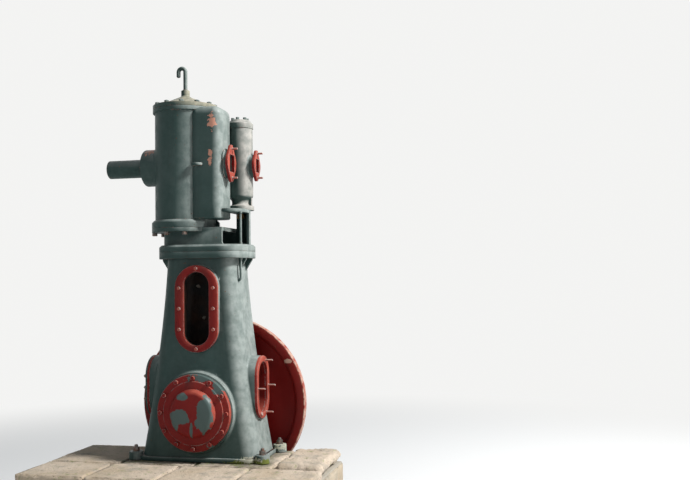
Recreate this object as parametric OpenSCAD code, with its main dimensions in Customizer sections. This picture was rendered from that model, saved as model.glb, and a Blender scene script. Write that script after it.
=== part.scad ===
// Vertical enclosed steam engine, single cylinder, on a low plinth of stone.
// Origin: on the ground under the crankshaft's middle. X runs across the engine,
// the crankshaft lies along Y with the flywheel at +Y, and Z is up. Millimetres.

/* [Plinth] */
// Height of the lower masonry
masonry_h = 360; // [200:10:600]
// How far the masonry reaches to the left of the crankshaft
masonry_left = 1000; // [700:10:1400]
// How far the masonry reaches to the right of the crankshaft
masonry_right = 880; // [700:10:1400]
// How far the masonry reaches in front of the crankshaft's middle
masonry_front = 740; // [400:10:900]
// How far the masonry reaches behind, short of the flywheel
masonry_back = 250; // [240:1:254]
// Thickness of the top flagstones
flag_t = 60; // [30:5:120]
// Number of flags along each row
flag_count = 4; // [3:1:8]
// Where the joint between the two rows of flags lies, in front of the crankshaft's middle
flag_row_joint = 330; // [280:5:420]
// Left edge of the raised corner stone, from the crankshaft's middle
corner_stone_left = 540; // [500:10:640]
// How far the corner stone stands over the flags
corner_stone_rise = 32; // [10:1:60]
// Open joint between flags
flag_joint = 8; // [4:1:20]

/* [Engine frame] */
// Half width of the frame casting at its foot
foot_half_x = 410; // [380:5:440]
// Half width of the frame casting under its top flange
neck_half_x = 247; // [220:2:260]
// Half depth of the frame casting at its foot
foot_half_y = 224; // [218:1:230]
// Half depth of the frame casting under its top flange
neck_half_y = 172; // [165:1:180]
// Corner radius of the frame casting
frame_corner = 98; // [60:1:110]
// Height of the frame casting over the plinth
frame_h = 1370; // [1340:5:1450]
// How strongly the sides sweep out towards the foot
frame_sweep = 1.5; // [1.2:0.1:2.2]
// Wall of the frame casting
frame_wall = 22; // [14:1:28]
// Thickness of the foot flange and sump floor
foot_t = 28; // [20:1:40]
// How far the foot flange stands out from the casting
foot_lip = 16; // [8:1:18]
// How far the gussets under the column joint stand out
gusset_out = 52; // [40:1:60]
// Height of the gussets
gusset_h = 84; // [60:1:110]
// Thickness of the gussets
gusset_t = 16; // [10:1:22]
// Distance of the gussets from the engine's middle, front to back
gusset_y = 62; // [40:1:70]
// Radius of each holding-down lug
lug_r = 46; // [38:1:48]
// Height of each holding-down lug
lug_h = 52; // [40:1:70]
// Distance of the lugs from the engine's middle, across
lug_x = 440; // [420:1:460]
// Distance of the lugs from the engine's middle, front to back
lug_y = 190; // [150:1:195]
// Diameter of the holding-down bolts
holding_bolt_d = 24; // [18:1:30]

/* [Column joint] */
// Half width of the oblong joint flanges
joint_half_x = 315; // [300:1:330]
// Half depth of the oblong joint flanges
joint_half_y = 222; // [210:1:235]
// Corner radius of the oblong joint flanges
joint_corner = 170; // [140:5:200]
// Thickness of each joint flange
joint_t = 46; // [34:1:56]
// Bevel along the upper flange's edge
joint_bevel = 14; // [6:1:18]

/* [Crankshaft] */
// Height of the crankshaft over the plinth
crank_h = 320; // [310:1:330]
// Radius of the journals
journal_r = 50; // [40:1:60]
// Radial running clearance of the journals
journal_clearance = 0.05; // [0.02:0.01:0.1]
// Radius of the disc crank webs
web_r = 160; // [130:5:170]
// Thickness of each crank web
web_t = 48; // [36:2:60]
// Distance between the crank webs
web_gap = 96; // [80:2:110]
// Throw of the crank pin
crank_throw = 100; // [80:2:105]
// Radius of the crank pin
crank_pin_r = 42; // [34:1:48]
// Length of the shaft's bare end behind the flywheel
shaft_end = 70; // [50:5:120]

/* [Bearings] */
// Distance of the front boss face from the crankshaft's middle
boss_face = 244; // [241:1:250]
// Radius of the front boss
boss_r = 262; // [258:1:266]
// Radius of the front bearing cover
cover_r = 250; // [240:1:255]
// Thickness of the front bearing cover
cover_t = 32; // [18:1:38]
// Radius of the raised face on the cover
cover_step_r = 206; // [190:1:215]
// Height of the raised face on the cover
cover_step_t = 7; // [4:1:12]
// Radius of the round cap where it meets the cover
cap_r = 157; // [140:1:165]
// Radius of the cap's flat face
cap_face_r = 136; // [120:1:150]
// How far the cap stands out
cap_t = 36; // [14:1:44]
// Radius of the cover's spigot
spigot_r = 165; // [150:1:180]
// Length of the cover's spigot
spigot_l = 44; // [36:1:52]
// Space left behind the bearings' spigots
spigot_end_gap = 14; // [8:1:24]
// How far the front journal stops inside the cover's face
journal_end_gap = 4; // [2:1:8]
// Outer radius of the bearing bushes
bush_r = 68; // [62:1:75]
// Number of bolts round the front cover
cover_bolts = 12; // [8:1:16]
// Across-flats size of the cover bolt heads
cover_bolt_af = 26; // [18:1:32]
// Distance of the rear boss face from the crankshaft's middle
rear_boss_face = 231; // [229:1:233]
// Radius of the rear bearing housing
housing_r = 150; // [140:1:170]
// Thickness of the rear bearing housing's flange
housing_t = 13; // [10:1:14]
// How far the rear boss reaches beyond the housing's flange
rear_boss_lip = 10; // [4:1:16]
// Length of the rear bearing housing's spigot
housing_spigot_l = 36; // [28:1:44]
// Radius of the rear bearing housing's spigot
housing_spigot_r = 110; // [95:1:125]

/* [Flywheel] */
// Radius of the flywheel
wheel_r = 600; // [560:5:620]
// Distance of the flywheel's front face from the crankshaft's middle
wheel_face = 264; // [262:1:275]
// Width of the rim, front to back
rim_w = 56; // [40:1:80]
// Depth of the rim, measured inwards
rim_d = 58; // [40:1:80]
// Depth of the web below the rim's faces
web_recess = 17; // [8:1:20]
// Width of the slope between rim and web
rim_slope = 16; // [8:1:30]
// Radius of the hub
hub_r = 105; // [85:1:130]
// How far the hub stands out beyond the rim's faces
hub_proud = 10; // [5:1:12]
// Width of the key
key_w = 22; // [14:1:28]

/* [Doors] */
// Drop of the front door's middle under the column joint
front_door_drop = 377; // [360:1:390]
// Half width of the front door frame
front_door_x = 150; // [140:1:156]
// Half height of the front door frame
front_door_z = 286; // [270:1:295]
// Width of the front door frame's sides
front_band_x = 62; // [45:1:70]
// Width of the front door frame at its top and bottom
front_band_z = 45; // [35:1:60]
// Distance of the front door seat from the engine's middle
front_door_seat = 198; // [194:1:204]
// Thickness of the door frames
door_frame_t = 18; // [10:1:24]
// Rise of the side doors' middle over the crankshaft
side_door_rise = 143; // [130:1:155]
// Half width of the side door frames
side_door_y = 132; // [120:1:138]
// Half height of the side door frames
side_door_z = 208; // [195:1:215]
// Width of the side door frames' band
side_band = 40; // [30:1:50]
// Distance of the side door seats from the engine's middle
side_door_seat = 371; // [368:1:376]
// Thickness of the closed side door
door_plate_t = 12; // [8:1:18]
// Diameter of the door studs
door_stud_d = 12; // [8:1:16]
// How far the door studs stand out
door_stud_out = 48; // [30:1:60]

/* [Distance piece] */
// Half width of the distance piece
distance_half_x = 288; // [280:1:295]
// Half depth of the distance piece
distance_half_y = 150; // [140:1:165]
// Corner radius of the distance piece
distance_corner = 105; // [90:1:120]
// Wall of the distance piece
distance_wall = 18; // [12:1:24]
// Height of the distance piece over the column joint
distance_h = 162; // [150:1:180]
// Thickness of the flange that carries the cylinder
seat_flange_t = 26; // [20:1:34]
// Left edge of the window, from the engine's middle
window_left = 158; // [150:1:175]
// How far the window wraps round the right side, from the engine's middle
window_back = 30; // [10:1:50]
// Radius of the window's lower left corner
window_corner = 18; // [10:1:30]
// Flat on the cylinder's foot flange beside the window, from the engine's middle
foot_flat_x = 32; // [24:1:44]
// Height of the yoke that carries the valve chest
yoke_h = 122; // [110:1:130]
// Thickness of the yoke's top plate
yoke_top_t = 22; // [12:1:24]

/* [Cylinder] */
// Distance of the cylinder's axis to the left of the engine's middle
cylinder_x = 155; // [145:1:165]
// Outer radius of the cylinder
cylinder_r = 207; // [200:1:210]
// Radius of the cylinder's foot flange
cylinder_foot_r = 230; // [226:1:236]
// Thickness of the cylinder's foot flange
cylinder_foot_t = 56; // [40:1:70]
// Bevel along the foot flange's edge
cylinder_foot_bevel = 16; // [8:1:20]
// Height of the cylinder from foot to top face
cylinder_h = 816; // [780:1:850]
// Radius of the cylinder's top flange
cylinder_top_r = 221; // [216:1:230]
// Thickness of the cylinder's top flange
cylinder_top_t = 27; // [20:1:40]
// Thickness of the cover at its edge
top_cover_t = 28; // [20:1:36]
// Rise of the cover's cone
top_cone_h = 72; // [50:1:90]
// Radius of the cone where it leaves the cover's flat rim
top_cone_r = 182; // [170:1:195]
// Radius of the boss on the cover
top_boss_r = 29; // [24:1:40]
// Height of the boss on the cover
top_boss_h = 40; // [30:1:60]
// Number of nuts round the cover
top_nuts = 12; // [8:1:16]
// Across-flats size of the cylinder nuts
cylinder_nut_af = 30; // [22:1:34]
// Height of the cylinder nuts
cylinder_nut_h = 22; // [16:1:28]

/* [Lifting hook] */
// Radius of the hook's round bar
hook_bar_r = 14; // [10:1:18]
// Radius of the hook's bend
hook_bend_r = 25; // [20:1:32]
// Height of the hook's long leg
hook_leg = 132; // [100:1:160]
// Length of the hook's short leg below the bend
hook_tip = 38; // [20:1:60]

/* [Steam passage] */
// Right face of the steam passage, from the engine's middle
passage_right = 161; // [156:1:166]
// Front face of the steam passage, from the engine's middle
passage_front = 182; // [176:1:200]
// Back face of the steam passage, from the engine's middle
passage_back = 60; // [40:1:80]
// How far the steam passage stops under the cylinder's top face
passage_drop = 4; // [2:1:30]
// Radius of the small ledge on the steam passage's front
ledge_r = 38; // [28:1:46]
// Thickness of the small ledge
ledge_t = 18; // [12:1:26]
// How far the ledge stands out
ledge_out = 34; // [20:1:36]
// Radius of the steam passage's rounded edges
passage_round = 58; // [45:1:65]

/* [Valve chest] */
// Distance of the valve's axis to the right of the engine's middle
valve_x = 205; // [200:1:210]
// Distance of the valve's axis behind the engine's middle
valve_y = 100; // [96:1:105]
// Outer radius of the valve chest
chest_r = 86; // [82:1:92]
// How far the valve chest's body stops under the cylinder's top face
chest_drop = 131; // [100:1:160]
// Radius of the valve chest's foot flange
chest_foot_r = 92; // [90:1:98]
// Thickness of the valve chest's foot flange
chest_foot_t = 30; // [20:1:40]
// Thickness of the rib beside the neck
chest_rib_t = 22; // [14:1:30]
// Radius of the neck over the foot flange
chest_neck_r = 60; // [50:1:70]
// Height of the neck over the foot flange
chest_neck_h = 60; // [60:1:100]
// Thickness of the valve chest's cover
chest_cover_t = 62; // [40:1:80]
// Radius of the valve chest's cover
chest_cover_r = 90; // [86:1:98]
// Number of nuts on the valve chest's cover
chest_nuts = 6; // [4:1:8]
// Radius of the valve spindle
spindle_r = 10; // [8:1:14]
// Radius of the spindle's gland
gland_r = 26; // [22:1:27]
// Height of the spindle's gland
gland_h = 34; // [24:1:44]

/* [Branches] */
// Height of the branches over the cylinder's foot
branch_rise = 428; // [410:1:445]
// Half height of the front oval flange
steam_flange_z = 126; // [118:1:132]
// Half depth of the front oval flange
steam_flange_y = 84; // [78:1:90]
// Middle of the front oval flange, in front of the engine's middle
steam_flange_front = 76; // [74:1:80]
// Length of the front neck
steam_neck_l = 28; // [20:1:40]
// Half height of the rear oval flange
exhaust_flange_z = 107; // [98:1:114]
// Half depth of the rear oval flange
exhaust_flange_y = 68; // [62:1:74]
// Length of the rear neck, from the valve chest's side
exhaust_neck_l = 18; // [12:1:30]
// Thickness of the oval flanges
oval_t = 20; // [14:1:26]
// Half height of the port in the front oval flange
port_z = 58; // [48:1:66]
// Half depth of the port in the front oval flange
port_y = 44; // [36:1:50]
// Depth of the port behind the front oval flange's neck
port_depth = 70; // [40:5:90]
// Depth of the port in the valve chest's side
chest_port_depth = 34; // [20:2:50]
// Diameter of the flange studs
flange_stud_d = 14; // [10:1:18]
// How far the flange studs stand out
flange_stud_out = 38; // [26:1:50]
// Distance of the front flange's studs from its middle
steam_stud_z = 98; // [88:1:104]
// Distance of the rear flange's studs from its middle
exhaust_stud_z = 84; // [76:1:90]
// Radius of the left branch on the cylinder
left_branch_r = 127; // [110:1:135]
// Reach of the left branch from the cylinder's axis
left_branch_l = 285; // [270:1:310]
// Radius of the stub's collar
collar_r = 78; // [70:1:90]
// Length of the stub's collar
collar_l = 24; // [18:1:36]
// Outer radius of the left stub pipe
stub_r = 63; // [56:1:70]
// Bore radius of the left stub pipe
stub_bore_r = 54; // [46:1:56]
// Length of the left stub pipe
stub_l = 279; // [180:1:320]

/* [Drain pipe] */
// Outer radius of the drain pipe
drain_r = 8; // [6:1:10]
// Drop of the drain pipe under the column joint
drain_drop = 150; // [90:2:190]
// How far the drain pipe stands off the column's top
drain_off = 25; // [20:1:40]
// Distance of the drain pipe in front of the engine's middle
drain_y = 100; // [84:1:110]

/* [Hidden] */
$fn = 64;

// Colours
paint = [0.42, 0.50, 0.46];
red = [0.62, 0.16, 0.14];
steel = [0.45, 0.44, 0.42];
bronze = [0.60, 0.45, 0.25];
stone = [0.74, 0.68, 0.55];

// Levels, worked up from the plinth
plinth_top = masonry_h + flag_t;
crank_z = plinth_top + crank_h;
side_door_at = crank_z + side_door_rise;
frame_top = plinth_top + frame_h;
front_door_at = frame_top - front_door_drop;
loft_h = frame_h - joint_t;
distance_foot = frame_top + joint_t;
distance_top = frame_top + distance_h;
yoke_top = distance_top + yoke_h;
cylinder_foot = distance_top;
cylinder_top = cylinder_foot + cylinder_h;
cover_edge_top = cylinder_top + top_cover_t;
boss_top = cover_edge_top + top_cone_h + top_boss_h;
chest_foot = yoke_top;
chest_body = chest_foot + chest_foot_t + chest_neck_h;
chest_top = cylinder_top - chest_drop;
chest_h = chest_top - chest_body;
passage_foot = cylinder_foot + cylinder_foot_t;
passage_h = cylinder_top - passage_drop - passage_foot;
branch_z = cylinder_foot + branch_rise;

// Places worked out from their neighbours
cover_face = boss_face + cover_t;
step_face = cover_face + cover_step_t;
hub_front = wheel_face - hub_proud;
hub_back = wheel_face + rim_w + hub_proud;
housing_face = rear_boss_face + housing_t;
front_journal_end = boss_face + cover_t - journal_end_gap;
inner_y = foot_half_y - frame_wall;
boss_root = 20;
cover_bolt_pcr = (cover_r + cover_step_r) / 2;
steam_neck_end = passage_right + steam_neck_l;
exhaust_neck_end = valve_x + chest_r + exhaust_neck_l;
key_h = key_w * 0.7;
fit_gap = 0.03;
seam_gap = 0.3;
loft_levels = 14;
corner_steps = 10;
eps = 0.5;

// Half width and half depth of the frame casting at height z over the plinth
function frame_half_x(z) =
    neck_half_x + (foot_half_x - neck_half_x) * pow(1 - z / frame_h, frame_sweep);
function frame_half_y(z) = foot_half_y + (neck_half_y - foot_half_y) * z / frame_h;

// Points of a rounded rectangle with half sizes a and b at height z, corners in equal steps
function rounded_ring(a, b, r, z, steps) = [
    for (c = [0:3]) for (k = [0:steps])
        let (turn = 90 * c + 90 * k / steps,
             mid_x = (c == 0 || c == 3 ? 1 : -1) * (a - r),
             mid_y = (c < 2 ? 1 : -1) * (b - r))
        [mid_x + r * cos(turn), mid_y + r * sin(turn), z]];

// The frame casting's outside, drawn in by inset, from height z0 to z1 over the plinth
module frame_loft(inset, z0, z1, levels, steps) {
    count = 4 * (steps + 1);
    rings = [for (i = [0:levels])
        let (z = z0 + (z1 - z0) * i / levels, zc = max(0, min(z, frame_h)))
        for (p = rounded_ring(frame_half_x(zc) - inset, frame_half_y(zc) - inset,
                              frame_corner - inset, z, steps)) p];
    sides = [for (i = [0:levels - 1]) for (k = [0:count - 1])
        let (n = (k + 1) % count)
        [(i + 1) * count + k, (i + 1) * count + n, i * count + n, i * count + k]];
    polyhedron(points = rings,
               faces = concat([[for (k = [0:count - 1]) k]], sides,
                              [[for (k = [count - 1:-1:0]) levels * count + k]]),
               convexity = 6);
}

module rounded_rect(a, b, r) {
    square([2 * (a - r), 2 * b], center = true);
    square([2 * a, 2 * (b - r)], center = true);
    for (sx = [-1, 1]) for (sy = [-1, 1])
        translate([sx * (a - r), sy * (b - r)]) circle(r);
}

// Rounded rectangle of height h whose sides slope in by the bevel c
module bevelled_rect(a, b, r, c, h) {
    for (sx = [-1, 1]) for (sy = [-1, 1])
        translate([sx * (a - r), sy * (b - r), 0]) cylinder(r1 = r, r2 = r - c, h = h);
    rotate([90, 0, 0]) linear_extrude(2 * (b - r), center = true)
        polygon([[-a, 0], [a, 0], [a - c, h], [c - a, h]]);
    rotate([90, 0, 90]) linear_extrude(2 * (a - r), center = true)
        polygon([[-b, 0], [b, 0], [b - c, h], [c - b, h]]);
}

// Upright oval: straight sides and round ends
module oval(half_w, half_h) {
    square([2 * half_w, 2 * (half_h - half_w)], center = true);
    for (s = [-1, 1]) translate([0, s * (half_h - half_w)]) circle(half_w);
}

// Stands a child on the front, at distance y before the middle, with its own z pointing out
module on_front(y, z) { translate([0, -y, z]) rotate([90, 0, 0]) children(); }

// Stands a child on the back in the same way
module on_back(y, z) { translate([0, y, z]) rotate([-90, 0, 0]) children(); }

// Stands a child on the right side in the same way
module on_right(x, y, z) { translate([x, y, z]) rotate([90, 0, 90]) children(); }

module hex_nut(af, h) { cylinder(r = af / sqrt(3), h = h, $fn = 6); }

// Hex nut with the end of its stud
module stud_nut(af, h, stud_out) {
    hex_nut(af, h);
    translate([0, 0, h]) cylinder(d = af * 0.55, h = stud_out);
}

// Plinth
module plinth_masonry() {
    color(stone)
        translate([-masonry_left, -masonry_front, 0])
            cube([masonry_left + masonry_right, masonry_front + masonry_back, masonry_h]);
}

module flag(x0, x1, y0, y1, rise) {
    translate([x0 + flag_joint / 2, y0 + flag_joint / 2, masonry_h])
        cube([x1 - x0 - flag_joint, y1 - y0 - flag_joint, flag_t + rise]);
}

module flag_row(x0, x1, y0, y1, count) {
    for (i = [0:count - 1])
        flag(x0 + (x1 - x0) * i / count, x0 + (x1 - x0) * (i + 1) / count, y0, y1, 0);
}

module plinth_flags() {
    color(stone) {
        flag_row(-masonry_left, masonry_right, -masonry_front, -flag_row_joint, flag_count);
        flag_row(-masonry_left, corner_stone_left, -flag_row_joint, masonry_back, flag_count - 1);
    }
}

// The stone at the right rear corner stands higher than its neighbours
module plinth_corner_stone() {
    color(stone)
        flag(corner_stone_left, masonry_right, -flag_row_joint, masonry_back, corner_stone_rise);
}

// Frame casting: crankcase and column in one, hollow, with its flanges, bosses and door seats
module on_left_and_right() { for (s = [0, 1]) mirror([s, 0, 0]) children(); }

module side_seat_frame(out) {
    on_right(side_door_seat, 0, side_door_at) translate([0, 0, out]) children();
}

module lug_places() {
    for (sx = [-1, 1]) for (sy = [-1, 1])
        translate([sx * lug_x, sy * lug_y, plinth_top]) children();
}

module foot_flange() {
    translate([0, 0, plinth_top]) linear_extrude(foot_t)
        rounded_rect(foot_half_x + foot_lip, foot_half_y + foot_lip, frame_corner);
    lug_places() cylinder(r = lug_r, h = lug_h);
}

// Triangular gusset on the right side at depth y, thick enough to root in the wall
module gusset(y) {
    root = frame_wall / 2;
    translate([neck_half_x - root, y + gusset_t / 2, plinth_top + loft_h + eps]) rotate([90, 0, 0])
        linear_extrude(gusset_t)
            polygon([[0, 0], [0, -gusset_h], [root + 4, -gusset_h], [root + gusset_out, 0]]);
}

module engine_frame() {
    color(paint)
    difference() {
        union() {
            on_left_and_right() for (y = [-gusset_y, gusset_y]) gusset(y);
            translate([0, 0, plinth_top]) frame_loft(0, 0, loft_h + eps, loft_levels, corner_steps);
            foot_flange();
            translate([0, 0, frame_top - joint_t]) linear_extrude(joint_t)
                rounded_rect(joint_half_x, joint_half_y, joint_corner);
            on_front(inner_y - boss_root, crank_z) cylinder(r = boss_r, h = boss_face - inner_y + boss_root);
            on_back(inner_y - boss_root, crank_z)
                cylinder(r = housing_r + rear_boss_lip, h = rear_boss_face - inner_y + boss_root);
            on_front(inner_y - 40, front_door_at)
                linear_extrude(front_door_seat - inner_y + 40) oval(front_door_x, front_door_z);
            on_left_and_right() side_seat_frame(-90)
                linear_extrude(90) oval(side_door_y, side_door_z);
        }
        translate([0, 0, plinth_top])
            frame_loft(frame_wall, foot_t, frame_h + eps, 8, 5);
        on_front(boss_face - spigot_l - spigot_end_gap, crank_z)
            cylinder(r = spigot_r, h = spigot_l + spigot_end_gap + eps);
        on_back(rear_boss_face - housing_spigot_l - spigot_end_gap, crank_z)
            cylinder(r = housing_spigot_r, h = housing_spigot_l + spigot_end_gap + eps);
        on_front(neck_half_y - 60, front_door_at)
            linear_extrude(120) oval(front_door_x - front_band_x, front_door_z - front_band_z);
        on_left_and_right() side_seat_frame(-140)
            linear_extrude(160) oval(side_door_y - side_band, side_door_z - side_band);
        lug_places() translate([0, 0, -eps]) cylinder(d = holding_bolt_d + 2, h = lug_h + 2 * eps);
    }
}

module holding_down_bolts() {
    color(steel) lug_places() {
        cylinder(d = holding_bolt_d, h = lug_h);
        translate([0, 0, lug_h]) stud_nut(holding_bolt_d * 1.6, holding_bolt_d, holding_bolt_d * 0.6);
    }
}

// Bearings
module front_bearing_cover() {
    color(red)
    difference() {
        on_front(boss_face - spigot_l, crank_z) rotate_extrude($fn = 96) polygon([
            [bush_r, 0], [spigot_r - fit_gap, 0], [spigot_r - fit_gap, spigot_l],
            [cover_r, spigot_l], [cover_r, spigot_l + cover_t - 3], [cover_r - 3, spigot_l + cover_t],
            [cover_step_r, spigot_l + cover_t],
            [cover_step_r - 3, spigot_l + cover_t + cover_step_t],
            [bush_r, spigot_l + cover_t + cover_step_t]]);
    }
}

module front_bearing_cap() {
    color(red)
        on_front(step_face, crank_z) rotate_extrude($fn = 96) polygon([
            [0, 0], [cap_r, 0], [cap_r - 2, cap_t * 0.2], [cap_face_r + 6, cap_t * 0.8],
            [cap_face_r, cap_t * 0.93], [cap_face_r - 10, cap_t], [0, cap_t]]);
}

module front_cover_bolts() {
    color(red)
        on_front(cover_face, crank_z)
            for (i = [0:cover_bolts - 1]) rotate(360 * i / cover_bolts)
                translate([0, cover_bolt_pcr, 0]) hex_nut(cover_bolt_af, cover_bolt_af * 0.6);
}

module bush(y0, y1) {
    translate([0, y0, crank_z]) rotate([-90, 0, 0]) difference() {
        cylinder(r = bush_r - fit_gap, h = y1 - y0);
        translate([0, 0, -eps]) cylinder(r = journal_r + journal_clearance, h = y1 - y0 + 2 * eps);
    }
}

module front_bush() { color(bronze) bush(-front_journal_end, -(boss_face - spigot_l)); }

module rear_bearing_housing() {
    color(paint)
        on_back(rear_boss_face - housing_spigot_l, crank_z) rotate_extrude($fn = 96) polygon([
            [bush_r, 0], [housing_spigot_r - fit_gap, 0],
            [housing_spigot_r - fit_gap, housing_spigot_l], [housing_r, housing_spigot_l],
            [housing_r, housing_spigot_l + housing_t], [bush_r, housing_spigot_l + housing_t]]);
}

module rear_bush() { color(bronze) bush(rear_boss_face - housing_spigot_l, housing_face); }

// Crankshaft with disc webs and one pin
module crankshaft() {
    web_out = web_gap / 2 + web_t;
    color(steel) {
        translate([0, -front_journal_end + 6, crank_z]) rotate([-90, 0, 0])
            cylinder(r = journal_r, h = front_journal_end - 6 - web_out + eps);
        translate([0, web_out - eps, crank_z]) rotate([-90, 0, 0])
            cylinder(r = journal_r, h = hub_back + shaft_end - web_out + eps);
        for (s = [-1, 1]) translate([0, s * (web_gap + web_t) / 2, crank_z]) rotate([90, 0, 0])
            cylinder(r = web_r, h = web_t, center = true);
        translate([0, 0, crank_z + crank_throw]) rotate([90, 0, 0])
            cylinder(r = crank_pin_r, h = web_gap + 2 * eps, center = true);
    }
}

// Flywheel: plate wheel with a raised rim on both faces and a hub
module flywheel() {
    rim_in = wheel_r - rim_d;
    color(red)
    difference() {
        on_back(hub_front, crank_z) rotate_extrude($fn = 128) polygon([
            [journal_r, 0], [hub_r, 0], [hub_r, hub_proud + web_recess],
            [rim_in - rim_slope, hub_proud + web_recess], [rim_in, hub_proud],
            [wheel_r - 4, hub_proud], [wheel_r, hub_proud + 4],
            [wheel_r, hub_proud + rim_w - 4], [wheel_r - 4, hub_proud + rim_w],
            [rim_in, hub_proud + rim_w], [rim_in - rim_slope, hub_proud + rim_w - web_recess],
            [hub_r, hub_proud + rim_w - web_recess], [hub_r, 2 * hub_proud + rim_w],
            [journal_r, 2 * hub_proud + rim_w]]);
        translate([-key_w / 2, hub_back - 40, crank_z + journal_r - 2])
            cube([key_w, 40 + eps, key_h + 2]);
    }
}

module flywheel_key() {
    color(steel)
        translate([-key_w / 2, hub_back - 40, crank_z + journal_r])
            cube([key_w, 40 + key_w / 2, key_h]);
}

// Doors
module front_door_frame() {
    color(red)
        on_front(front_door_seat, front_door_at) linear_extrude(door_frame_t)
            difference() {
                oval(front_door_x, front_door_z);
                oval(front_door_x - front_band_x, front_door_z - front_band_z);
            }
}

// Places round an oval door, in the door's own plane
function door_places(half_w, half_h, band_w, band_h) = [
    for (s = [-1, 1]) [0, s * (half_h - band_h / 2)],
    for (s = [-1, 1]) for (k = [-1:1]) [s * (half_w - band_w / 2), k * (half_h - half_w)]];

module front_door_studs() {
    color(red)
        on_front(front_door_seat + door_frame_t, front_door_at)
            for (p = door_places(front_door_x, front_door_z, front_band_x, front_band_z))
                translate([p[0], p[1], 0]) hex_nut(cover_bolt_af * 0.8, door_stud_d * 0.8);
}

module side_door_ring() {
    linear_extrude(door_frame_t) difference() {
        oval(side_door_y, side_door_z);
        oval(side_door_y - side_band, side_door_z - side_band);
    }
}

module side_door_frame() { color(red) side_seat_frame(0) side_door_ring(); }

module side_door_studs() {
    color(red)
        side_seat_frame(door_frame_t)
            for (p = door_places(side_door_y, side_door_z, side_band, side_band))
                translate([p[0], p[1], 0]) cylinder(d = door_stud_d, h = door_stud_out);
}

module left_door_frame() { color(red) mirror([1, 0, 0]) side_seat_frame(0) side_door_ring(); }

module left_door_plate() {
    color(paint)
        mirror([1, 0, 0]) side_seat_frame(door_frame_t)
            linear_extrude(door_plate_t) oval(side_door_y, side_door_z);
}

module left_door_nuts() {
    color(steel)
        mirror([1, 0, 0]) side_seat_frame(door_frame_t + door_plate_t)
            for (p = door_places(side_door_y, side_door_z, side_band, side_band))
                translate([p[0], p[1], 0]) stud_nut(cover_bolt_af * 0.8, door_stud_d, door_stud_d / 2);
}

// Distance piece between the column and the cylinder, with the valve's yoke and its window
module distance_outline(inset) {
    rounded_rect(distance_half_x - inset, distance_half_y - inset, distance_corner - inset);
}

// Open window that wraps the front right corner, round at its lower left
module window() {
    reach = distance_half_x - window_left + joint_bevel;
    top = yoke_top - yoke_top_t - distance_foot;
    translate([window_left, window_back, distance_foot]) rotate([90, 0, 0])
        linear_extrude(distance_half_y + window_back + joint_bevel) {
            translate([0, window_corner]) square([reach, top - window_corner]);
            translate([window_corner, 0]) square([reach - window_corner, top]);
            translate([window_corner, window_corner]) circle(window_corner);
        }
}

// Flat beside the window that takes the round flange back to x, as far back as y
module foot_flat(z, h, y) {
    translate([foot_flat_x, -cylinder_foot_r - joint_bevel, z])
        cube([cylinder_foot_r, cylinder_foot_r + joint_bevel - y, h]);
}

module distance_piece() {
    color(paint)
    difference() {
        union() {
            translate([0, 0, frame_top]) linear_extrude(joint_t - joint_bevel)
                rounded_rect(joint_half_x, joint_half_y, joint_corner);
            translate([0, 0, distance_foot - joint_bevel])
                bevelled_rect(joint_half_x, joint_half_y, joint_corner, joint_bevel, joint_bevel);
            translate([0, 0, frame_top + eps]) linear_extrude(distance_h - eps) distance_outline(0);
            translate([-cylinder_x, 0, distance_top - seat_flange_t])
                cylinder(r = cylinder_foot_r, h = seat_flange_t);
            translate([0, 0, distance_top - eps]) linear_extrude(yoke_h + eps) intersection() {
                distance_outline(0);
                translate([passage_right + seam_gap, -distance_half_y])
                    square([distance_half_x, 2 * distance_half_y]);
            }
        }
        translate([0, 0, frame_top - eps])
            linear_extrude(distance_h - seat_flange_t + eps) distance_outline(distance_wall);
        translate([0, 0, distance_foot]) linear_extrude(distance_h + yoke_h - joint_t - yoke_top_t)
            intersection() {
                distance_outline(distance_wall);
                translate([window_left, -distance_half_y])
                    square([distance_half_x, 2 * distance_half_y]);
            }
        window();
        foot_flat(distance_top - seat_flange_t - eps, seat_flange_t + 2 * eps, distance_half_y);
        translate([valve_x, valve_y, yoke_top - yoke_top_t - eps])
            cylinder(r = spindle_r + 2, h = yoke_top_t + 2 * eps);
    }
}

// Cylinder
module cylinder_casting() {
    color(paint) {
        translate([-cylinder_x, 0, cylinder_foot]) rotate_extrude($fn = 96) polygon([
            [0, 0], [cylinder_r, 0], [cylinder_r, cylinder_h - cylinder_top_t],
            [cylinder_top_r, cylinder_h - cylinder_top_t], [cylinder_top_r, cylinder_h], [0, cylinder_h]]);
        difference() {
            translate([-cylinder_x, 0, cylinder_foot]) rotate_extrude($fn = 96) polygon([
                [0, 0], [cylinder_foot_r, 0], [cylinder_foot_r, cylinder_foot_t - cylinder_foot_bevel],
                [cylinder_foot_r - cylinder_foot_bevel, cylinder_foot_t], [0, cylinder_foot_t]]);
            foot_flat(cylinder_foot - eps, cylinder_foot_t + 2 * eps, -window_back);
        }
        translate([-cylinder_x, 0, branch_z]) rotate([0, -90, 0])
            cylinder(r = left_branch_r, h = left_branch_l);
    }
}

module nuts_round(x, y, z, pcr, count, turn = 0) {
    for (i = [0:count - 1]) translate([x, y, z]) rotate(turn + 360 * i / count)
        translate([pcr, 0, 0]) children();
}

// Nuts under the flange that carries the cylinder, where the distance piece leaves room
module cylinder_foot_nuts() {
    color(steel)
        for (turn = [70, 105, 160, 200, 255, 290])
            translate([-cylinder_x, 0, distance_top - seat_flange_t]) rotate(turn)
                translate([cylinder_foot_r - cylinder_nut_af * 0.62, 0, -cylinder_nut_h])
                    hex_nut(cylinder_nut_af, cylinder_nut_h);
}

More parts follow.
